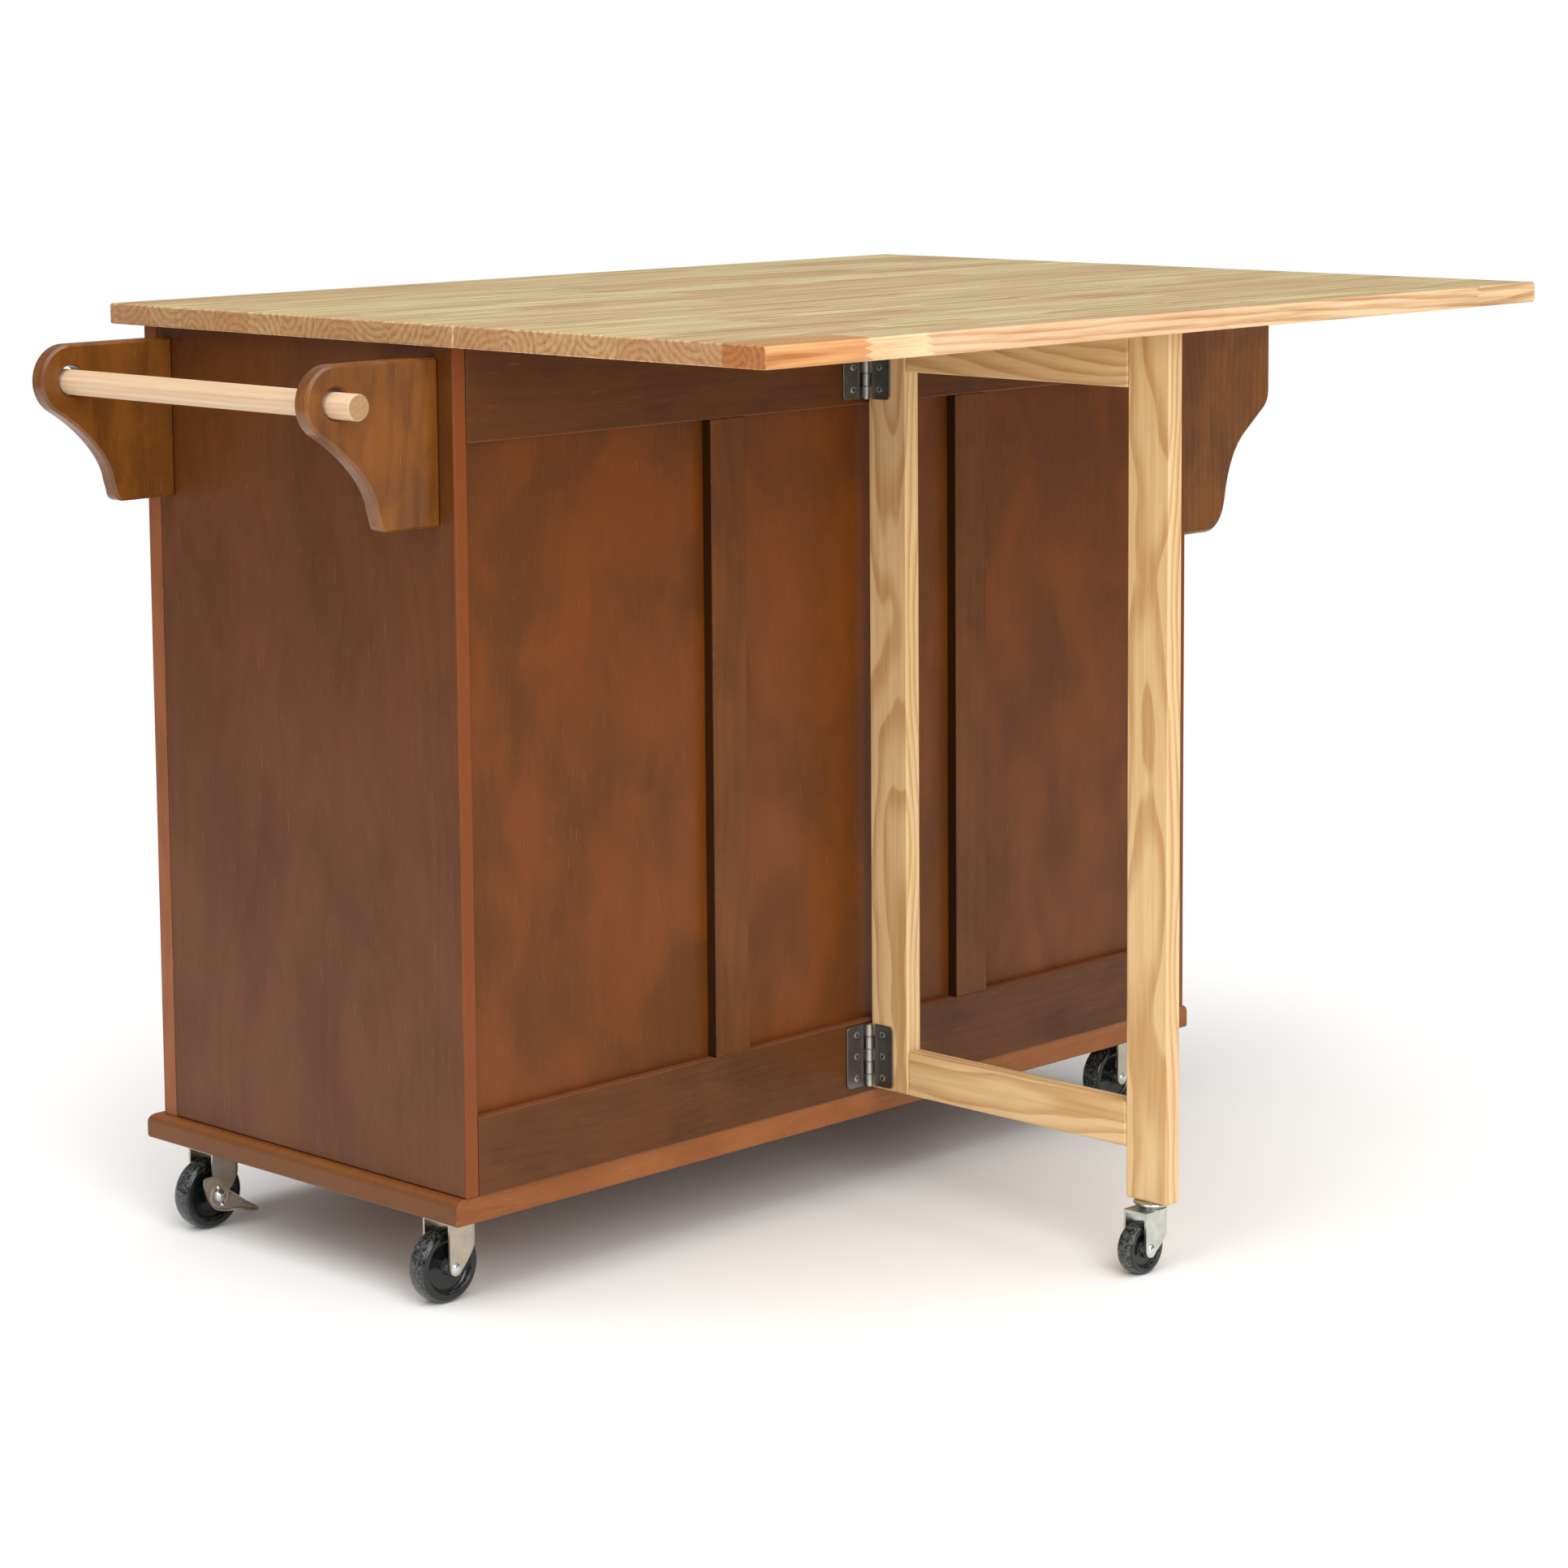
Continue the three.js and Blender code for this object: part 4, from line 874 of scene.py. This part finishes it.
# %% Towel bar
bar_low, bar_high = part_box("towel_bar")
bar_middle = (bar_low + bar_high) / 2
bar_half = (bar_high.y - bar_low.y) / 2 / MM
bar_radius = (bar_high.x - bar_low.x) / 2 / MM
print("towel bar", round(2 * bar_radius, 1), "mm thick,", round(2 * bar_half, 1), "mm long")
bar = spun(((0, -bar_half), (bar_radius - 1.4, -bar_half), (bar_radius - 0.5, 0.5 - bar_half),
            (bar_radius, 1.4 - bar_half), (bar_radius, bar_half - 1.4),
            (bar_radius - 0.5, bar_half - 0.5), (bar_radius - 1.4, bar_half), (0, bar_half)),
           bar_middle, (0, 1, 0), 64)
close_piece("towel_bar_turned", bar, "towel_bar", "dowel_wood", ["towel_bar"], 60)

# %% [markdown]
# ## Screws
# Small cross-head screws hold the hinges and the caster plates. A turned head with two crossed
# slots, drawn as thin bars in a near-black finish, is enough at this size; the dark colour is
# painted shade for the shade inside the recess. The screws of one plate stop at different turns.

# %% Screw
CROSS_LENGTH, CROSS_WIDTH = 1.15, 0.26
CROSS_HEIGHT = 0.62


def screw(name, place, direction, radius, body, turn):
    """A cross-head screw whose head faces a direction. The cross is a share of the radius."""
    place, direction = Vector(place), Vector(direction)
    head = spun(((0, -1.2), (radius * 0.6, -1.2), (radius, 0), (radius * 0.85, 0.28),
                 (radius * 0.45, 0.42), (0, 0.46)), place, direction, 20)
    side = direction.orthogonal().normalized()
    side = Matrix.Rotation(turn, 3, direction) @ side
    for across in (side, direction.cross(side)):
        turned = Matrix((across, direction.cross(across), direction)).transposed().to_4x4()
        slot_box = bmesh.ops.create_cube(
            head, size=1.0, matrix=Matrix.Translation(place + direction * 0.2 * MM) @ turned
            @ Matrix.Diagonal((radius * CROSS_LENGTH * MM, radius * CROSS_WIDTH * MM,
                               CROSS_HEIGHT * MM, 1)))
        # Painted shade: the cross takes a near-black finish for the shade inside the recess.
        for face in {face for vert in slot_box["verts"] for face in vert.link_faces}:
            face.material_index = 1
    close_piece("screw_" + name, head, body, ["screw_steel", "screw_recess_painted_shade"], (), 30)


# %% [markdown]
# ## Hinges of the gate and the leaf
# Each butt hinge is two plates of 2 mm steel rolled round one pin: the fixed half has three
# knuckles and the moving half has two. The outer corners are rounded, and each plate has a row of
# three countersunk screws. The knuckles take a brighter, glossier steel than the plates; the
# brighter colour is partly a painted highlight for the light that runs along them.

# %% Butt hinges
KNUCKLES = 5
PLATE = 2.0
PIN_CLEARANCE = 0.5
PLATE_SINK = 1.0
CORNER_RADIUS = 5 * MM
KNUCKLE_GAP = 0.15
KNUCKLE_EASE = 0.4
HINGE_SCREW = 3.4


def hinge_plate(place, side, reach, clear, inner, length):
    """A rounded plate beside the pin; place turns X, Y and Z to out, side and along."""
    plate = bmesh.new()
    centre = Vector(((reach + clear) / 2, inner + PLATE / 2, 0)) * MM
    size = ((reach - clear) * MM, PLATE * MM, length * MM, 1)
    bmesh.ops.create_cube(plate, size=1.0,
                          matrix=place @ Matrix.Translation(centre) @ Matrix.Diagonal(size))
    outer = [edge for edge in edges_along(plate, side)
             if all((place.inverted() @ vert.co).x > (reach - 0.5) * MM for vert in edge.verts)]
    round_edges(plate, outer, CORNER_RADIUS, 6)
    soften(plate, 0.6 * MM, 3, 60)
    return plate


def hinge_knuckle(place, pin, along, radius, clear, inner, z0, z1):
    """A knuckle from z0 to z1 along the pin and the strap that joins it to its plate."""
    knuckle = spun(((0, z0), (radius - KNUCKLE_EASE, z0), (radius, z0 + KNUCKLE_EASE),
                    (radius, z1 - KNUCKLE_EASE), (radius - KNUCKLE_EASE, z1), (0, z1)),
                   pin, along, 28)
    for face in knuckle.faces:
        face.material_index = 1
    strap = bmesh.new()
    centre = Vector(((clear + 1) / 2, inner + PLATE / 2, (z0 + z1) / 2)) * MM
    size = ((clear + 1) * MM, PLATE * MM, (z1 - z0) * MM, 1)
    bmesh.ops.create_cube(strap, size=1.0,
                          matrix=place @ Matrix.Translation(centre) @ Matrix.Diagonal(size))
    return knuckle, strap


def hinge_half(node, length, reach, radius, pin, out, side, along, first, screws):
    """One half: the plate reaches along out, lies towards side of the pin, which runs along."""
    pin, out, side, along = Vector(pin), Vector(out), Vector(side), Vector(along)
    clear, inner, half = radius + PIN_CLEARANCE, radius - PLATE_SINK, length / 2
    place = Matrix.Translation(pin) @ Matrix((out, side, along)).transposed().to_4x4()
    pitch = length / KNUCKLES
    parts = [hinge_plate(place, side, reach, clear, inner, length)]
    for index in range(first, KNUCKLES, 2):
        z0, z1 = (-half + index * pitch + KNUCKLE_GAP, -half + (index + 1) * pitch - KNUCKLE_GAP)
        parts += hinge_knuckle(place, pin, along, radius, clear, inner, z0, z1)
    if first == 0:
        pin_end = ((0, -0.2), (radius * 0.62, -0.2), (radius * 0.6, 0.5), (radius * 0.4, 0.9),
                   (0, 1.0))
        for end in (-1, 1):
            parts.append(spun(pin_end, pin + along * end * half * MM, along * end, 20))
    close_piece(node + "_rolled", merge_shapes(*parts), body_of[node],
                ["hinge_steel", "hinge_pin"], [node])
    for number, (reached, height) in enumerate(screws):
        spot = place @ (Vector((reached, inner, height)) * MM)
        screw(f"{node}_{number}", spot, -side, HINGE_SCREW, body_of[node],
              0.4 + number)


# %% [markdown]
# The gate's hinges stand upright at its stile, one half on the cabinet's back and one on the gate.
# The leaf's hinges lie flat under the joint of the two tops.

# %% Hinges in place
GATE_HINGE_LENGTH, GATE_HINGE_REACH, GATE_HINGE_RADIUS = 63.5, 28.5, 4.0
LEAF_HINGE_LENGTH, LEAF_HINGE_REACH, LEAF_HINGE_RADIUS = 60.0, 28.0, 3.0
GATE_SCREWS = ((15, -22), (15, 0), (15, 22))
LEAF_SCREWS = ((15, -20), (15, 0), (15, 20))
for level in ("upper", "lower"):
    low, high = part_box(f"gate_hinge_{level}_fixed")
    pin = (low.x + GATE_HINGE_RADIUS * MM, high.y - GATE_HINGE_RADIUS * MM, (low.z + high.z) / 2)
    hinge_half(f"gate_hinge_{level}_fixed", GATE_HINGE_LENGTH, GATE_HINGE_REACH, GATE_HINGE_RADIUS,
               pin, (1, 0, 0), (0, -1, 0), (0, 0, 1), 0, GATE_SCREWS)
    hinge_half(f"gate_hinge_{level}_moving", GATE_HINGE_LENGTH, GATE_HINGE_REACH, GATE_HINGE_RADIUS,
               pin, (0, 1, 0), (-1, 0, 0), (0, 0, 1), 1, GATE_SCREWS)
for end in ("towel", "spice"):
    low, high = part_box(f"leaf_hinge_{end}_fixed")
    pin = ((low.x + high.x) / 2, high.y - LEAF_HINGE_RADIUS * MM, low.z + LEAF_HINGE_RADIUS * MM)
    hinge_half(f"leaf_hinge_{end}_fixed", LEAF_HINGE_LENGTH, LEAF_HINGE_REACH, LEAF_HINGE_RADIUS,
               pin, (0, -1, 0), (0, 0, 1), (1, 0, 0), 0, LEAF_SCREWS)
    hinge_half(f"leaf_hinge_{end}_moving", LEAF_HINGE_LENGTH, LEAF_HINGE_REACH, LEAF_HINGE_RADIUS,
               pin, (0, 1, 0), (0, 0, 1), (1, 0, 0), 1, LEAF_SCREWS)
print("hinges made")

# %% [markdown]
# ## Casters
# A swivel caster is a plate with a ball race, a fork pressed from one sheet, a riveted axle and a
# moulded wheel. The solids have the right fork, so its copy is only eased; the wheel, the race and
# the rivet are turned shapes and are spun again with round sections.

# %% Wheels and rivets
AXLE_BORE = 4.1
WHEEL_WIDTH = {35: 22.0, 25: 18.0}
RIVET_SECTION = ((0, -0.6), (5.9, -0.6), (5.9, 0.15), (5.5, 0.3), (5.0, 0.35), (4.65, 1.0),
                 (3.75, 1.75), (2.25, 2.3), (0, 2.55))


def wheel_section(radius, width, hub):
    """A wheel's section, one side and its mirror image: hub, dished web, rim, crowned tread."""
    half = width / 2
    side = [(AXLE_BORE, hub), (AXLE_BORE + 3.6, hub), (AXLE_BORE + 4.4, hub - 0.8),
            (AXLE_BORE + 4.6, half * 0.62), (radius * 0.42, half * 0.5),
            (radius * 0.62, half * 0.52), (radius * 0.70, half * 0.62),
            (radius * 0.735, half * 0.9), (radius * 0.755, half * 0.985), (radius * 0.78, half),
            (radius * 0.88, half), (radius * 0.915, half * 0.97), (radius * 0.955, half * 0.84),
            (radius * 0.985, half * 0.58), (radius * 0.998, half * 0.25)]
    return side + [(r, -h) for r, h in reversed(side)] + [side[0]]


def wheel(node, hub):
    """Spins a wheel again with a round section and gives back the middle of its axle."""
    low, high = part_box(node)
    axle, radius = (low + high) / 2, (high.z - low.z) / 2 / MM
    shape = spun(wheel_section(radius, WHEEL_WIDTH[round(radius)], hub), axle, (0, 1, 0), 72)
    close_piece(node + "_moulded", shape, body_of[node], "black_wheel", [node], 50)
    return axle


def rivet(name, axle, reach, body):
    """A domed rivet head with a thin rim, at a reach along Y from the axle's middle."""
    shape = spun(RIVET_SECTION, axle + Vector((0, reach * MM, 0)), (0, math.copysign(1, reach), 0),
                 28)
    close_piece("rivet_" + name, shape, body, "rivet_zinc", (), 50)


# %% [markdown]
# The large casters hang on a square plate with rounded corners and four screws, and a ball race
# bulges below it. The gate's caster has a stem with a dished washer instead. In both, a pin holds
# the fork from below.

# %% Caster mounts
MOUNT_PLATE = 3 * MM
MOUNT_CORNER = 6 * MM
MOUNT_SCREW_REACH, MOUNT_SCREW = 23, 4.2
RACE_SECTION = ((0, -2.5), (21, -2.5), (21, -3.4), (18.6, -3.9), (18, -4.6), (17.2, -5.5),
                (16, -5.7))
WASHER_SECTION = ((0, 0), (16.2, 0), (17.6, -0.5), (18, -1.4), (17.7, -2.4), (16.4, -3.1),
                  (13.5, -3.6), (12.6, -4.4), (12.4, -5.7))


def swivel_of(mount):
    """The top of the swivel's axis and the section of the pin below it."""
    low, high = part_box(mount)
    head = -(high.z - low.z) / MM
    pin = ((4, -5.7), (4, head + 2.7), (7, head + 2.7), (7, head + 0.8), (5.6, head), (0, head))
    return Vector(((low.x + high.x) / 2, (low.y + high.y) / 2, high.z)), pin


def plate_mount(mount, metal):
    low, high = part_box(mount)
    swivel, pin = swivel_of(mount)
    plate = box_shape((low.x, low.y, high.z - MOUNT_PLATE), high)
    round_edges(plate, edges_along(plate, Vector((0, 0, 1))), MOUNT_CORNER, 5)
    soften(plate, 0.5 * MM, 2, 60)
    race = spun(RACE_SECTION + pin, swivel, (0, 0, 1), 48)
    close_piece(mount + "_plate", merge_shapes(plate, race), body_of[mount], metal, [mount])
    for number, (sx, sy) in enumerate(((-1, -1), (1, -1), (-1, 1), (1, 1))):
        spot = swivel + Vector((sx * MOUNT_SCREW_REACH, sy * MOUNT_SCREW_REACH, -3)) * MM
        screw(f"{mount}_{number}", spot, (0, 0, -1), MOUNT_SCREW, body_of[mount],
              0.3 + number)


def stem_mount(mount, metal):
    swivel, pin = swivel_of(mount)
    stem = spun(WASHER_SECTION + pin, swivel, (0, 0, 1), 56)
    close_piece(mount + "_washer", stem, body_of[mount], metal, [mount])


# %% [markdown]
# One function puts a caster together. Half the fork's width is half the hub, a small gap and the
# fork's wall. Where a brake lever covers the outer end of the axle, that end has no rivet.

# %% Casters put together
FORK_GAP, FORK_WALL = 0.3, 2.5


def dress_caster(tag, wheel_node, fork, mount, metal, hub, make_mount, braked):
    axle = wheel(wheel_node, hub)
    copy = merged_copy(fork)
    soften(copy, 0.45 * MM, 2, 50)
    close_piece(fork + "_pressed", copy, body_of[fork], metal, [fork])
    half_fork = hub + FORK_GAP + FORK_WALL
    if not braked:
        rivet(tag + "_outer", axle, half_fork, body_of[fork])
    rivet(tag + "_inner", axle, -half_fork, body_of[fork])
    make_mount(mount, metal)
    return axle, half_fork


# %% [markdown]
# ## Brake levers
# Each front caster has a lever stamped from 2 mm sheet: a dished plate with a turned-up rim round
# the axle's nut, and a tongue that stands out a little so that a toe can press it.

# %% Brake lever
TONGUE = Vector((-0.905, 0, -0.425))
TONGUE_START, TONGUE_BEND, TONGUE_LIFT = 15 * MM, 9 * MM, 2.4 * MM
LEVER_RIM, RIM_SLOPE, LEVER_DISH = 1.7 * MM, 0.6 * MM, 1.2 * MM
BOSS_REACH, NUT_REACH = 0.8, 1.6
BOSS_SECTION = ((0, -0.6), (12.8, -0.6), (12.2, 0.4), (10.6, 1.0), (8.8, 0.8), (7.0, 0.2),
                (0, 0.2))
NUT_SECTION = ((0, -1), (6.0, -1), (6.2, 0.6), (5.4, 1.5), (4.4, 1.9), (4.2, 2.6), (3.2, 3.4),
               (0, 3.7))
DIMPLE_SECTION = ((0, -0.6), (2.6, -0.6), (2.3, 0.7), (1.4, 1.5), (0, 1.8))
DIMPLE_PLACE = Vector((2.2, 0, 9.0)) * MM


def brake_lever(node, axle, half_fork):
    shape = merged_copy(node)
    face = [one for one in shape.faces if one.normal.y > 0.9]
    for thickness, depth in ((LEVER_RIM, 0), (RIM_SLOPE, -LEVER_DISH)):
        bmesh.ops.inset_region(shape, faces=face, thickness=thickness, depth=depth,
                               use_even_offset=True, use_boundary=True)
    soften(shape, 0.35 * MM, 2, 50)
    for vert in shape.verts:
        reach = (vert.co - axle).dot(TONGUE)
        lift = min(max((reach - TONGUE_START) / TONGUE_BEND, 0.0), 1.0)
        vert.co.y += TONGUE_LIFT * lift * lift * (3 - 2 * lift)
    boss = spun(BOSS_SECTION, axle + Vector((0, (half_fork + BOSS_REACH) * MM, 0)), (0, 1, 0), 40)
    close_piece(node + "_stamped", merge_shapes(shape, boss), body_of[node], "nickel", [node])
    nut_place = axle + Vector((0, (half_fork + NUT_REACH) * MM, 0))
    nut = spun(NUT_SECTION, nut_place, (0, 1, 0), 28)
    for rise in (-1, 1):
        dimple = spun(DIMPLE_SECTION, nut_place + DIMPLE_PLACE * rise, (0, 1, 0), 16)
        nut = merge_shapes(nut, dimple)
    close_piece(node + "_nut", nut, body_of[node], "rivet_zinc", (), 50)


# %% [markdown]
# Four casters stand under the cabinet and one under the gate's leg. The hubs of the large ones are
# wider, and only the two at the front have brakes.

# %% All the casters
MAIN_HUB, GATE_HUB = 16.2, 11.2
for corner in ("towel_back", "towel_front", "spice_back", "spice_front"):
    braked = corner.endswith("front")
    axle, half_fork = dress_caster(corner, "caster_wheel_" + corner, "caster_fork_" + corner,
                                   "caster_mount_" + corner, "nickel", MAIN_HUB, plate_mount,
                                   braked)
    if braked:
        brake_lever("brake_lever_" + corner, axle, half_fork)
dress_caster("gate", "gate_caster_wheel", "gate_caster_fork", "gate_caster_stem", "zinc",
             GATE_HUB, stem_mount, False)
print("casters dressed")

# %% [markdown]
# ## Floor and light
# A pale floor that runs into a pale world, with one large soft light from the leaf's side, a
# weaker one from the towel end and one above. Large lights give the broad soft highlights that
# lacquer shows. The camera sees the world white, but it lights the island much less than that, so
# that the shadows keep their depth.

# %% Floor
FLOOR_RADIUS = 3.4


def plain_floor():
    mesh = bpy.data.meshes.new("floor")
    shape = bmesh.new()
    bmesh.ops.create_circle(shape, cap_ends=True, segments=96, radius=FLOOR_RADIUS)
    shape.to_mesh(mesh)
    shape.free()
    floor = bpy.data.objects.new("floor", mesh)
    bpy.context.collection.objects.link(floor)
    material, _, shader = new_material("pale_floor")
    shader.inputs["Base Color"].default_value = linear("f4f4f2")
    shader.inputs["Roughness"].default_value = 0.7
    mesh.materials.append(material)


plain_floor()
print("floor radius", FLOOR_RADIUS)

# %% World
SURROUND = 0.34
WHITE = 1, 1, 1, 1
bpy.context.scene.view_settings.view_transform = "Standard"
world = bpy.data.worlds.new("studio")
bpy.context.scene.world = world
world.use_nodes = True
sky = world.node_tree
surround = sky.nodes["Background"]
plug(sky, surround, {"Color": WHITE, "Strength": SURROUND})
backdrop = add(sky, "Background", (WHITE, 1.0))
by_camera = add(sky, "LightPath", out="Is Camera Ray")
mixed = add(sky, "MixShader", (by_camera, surround.outputs[0], backdrop))
plug(sky, sky.nodes["World Output"], {"Surface": mixed})
print("world lights with", SURROUND)

# %% Lights
OVERHEAD_STRENGTH, OVERHEAD_SPREAD = 2.75, 70


def studio_light(name, kind, energy):
    light = bpy.data.objects.new(name, bpy.data.lights.new(name, kind))
    light.data.energy = energy
    bpy.context.collection.objects.link(light)
    return light


for name, place, aim, size, power in (
        ("key_light", (2.0, 3.8, 2.1), (0, 0.1, 0.5), 2.4, 108),
        ("towel_end_light", (3.6, 0.6, 2.4), (0.4, 0, 0.5), 1.8, 28)):
    light = studio_light(name, "AREA", power)
    light.data.shape = "SQUARE"
    light.data.size = size
    light.location = place
    light.rotation_euler = (Vector(aim) - Vector(place)).to_track_quat("-Z", "Y").to_euler()
overhead = studio_light("overhead_light", "SUN", OVERHEAD_STRENGTH)
overhead.data.angle = math.radians(OVERHEAD_SPREAD)
overhead.rotation_euler = (math.radians(-12), math.radians(8), 0)
print("lights", len(bpy.data.lights))
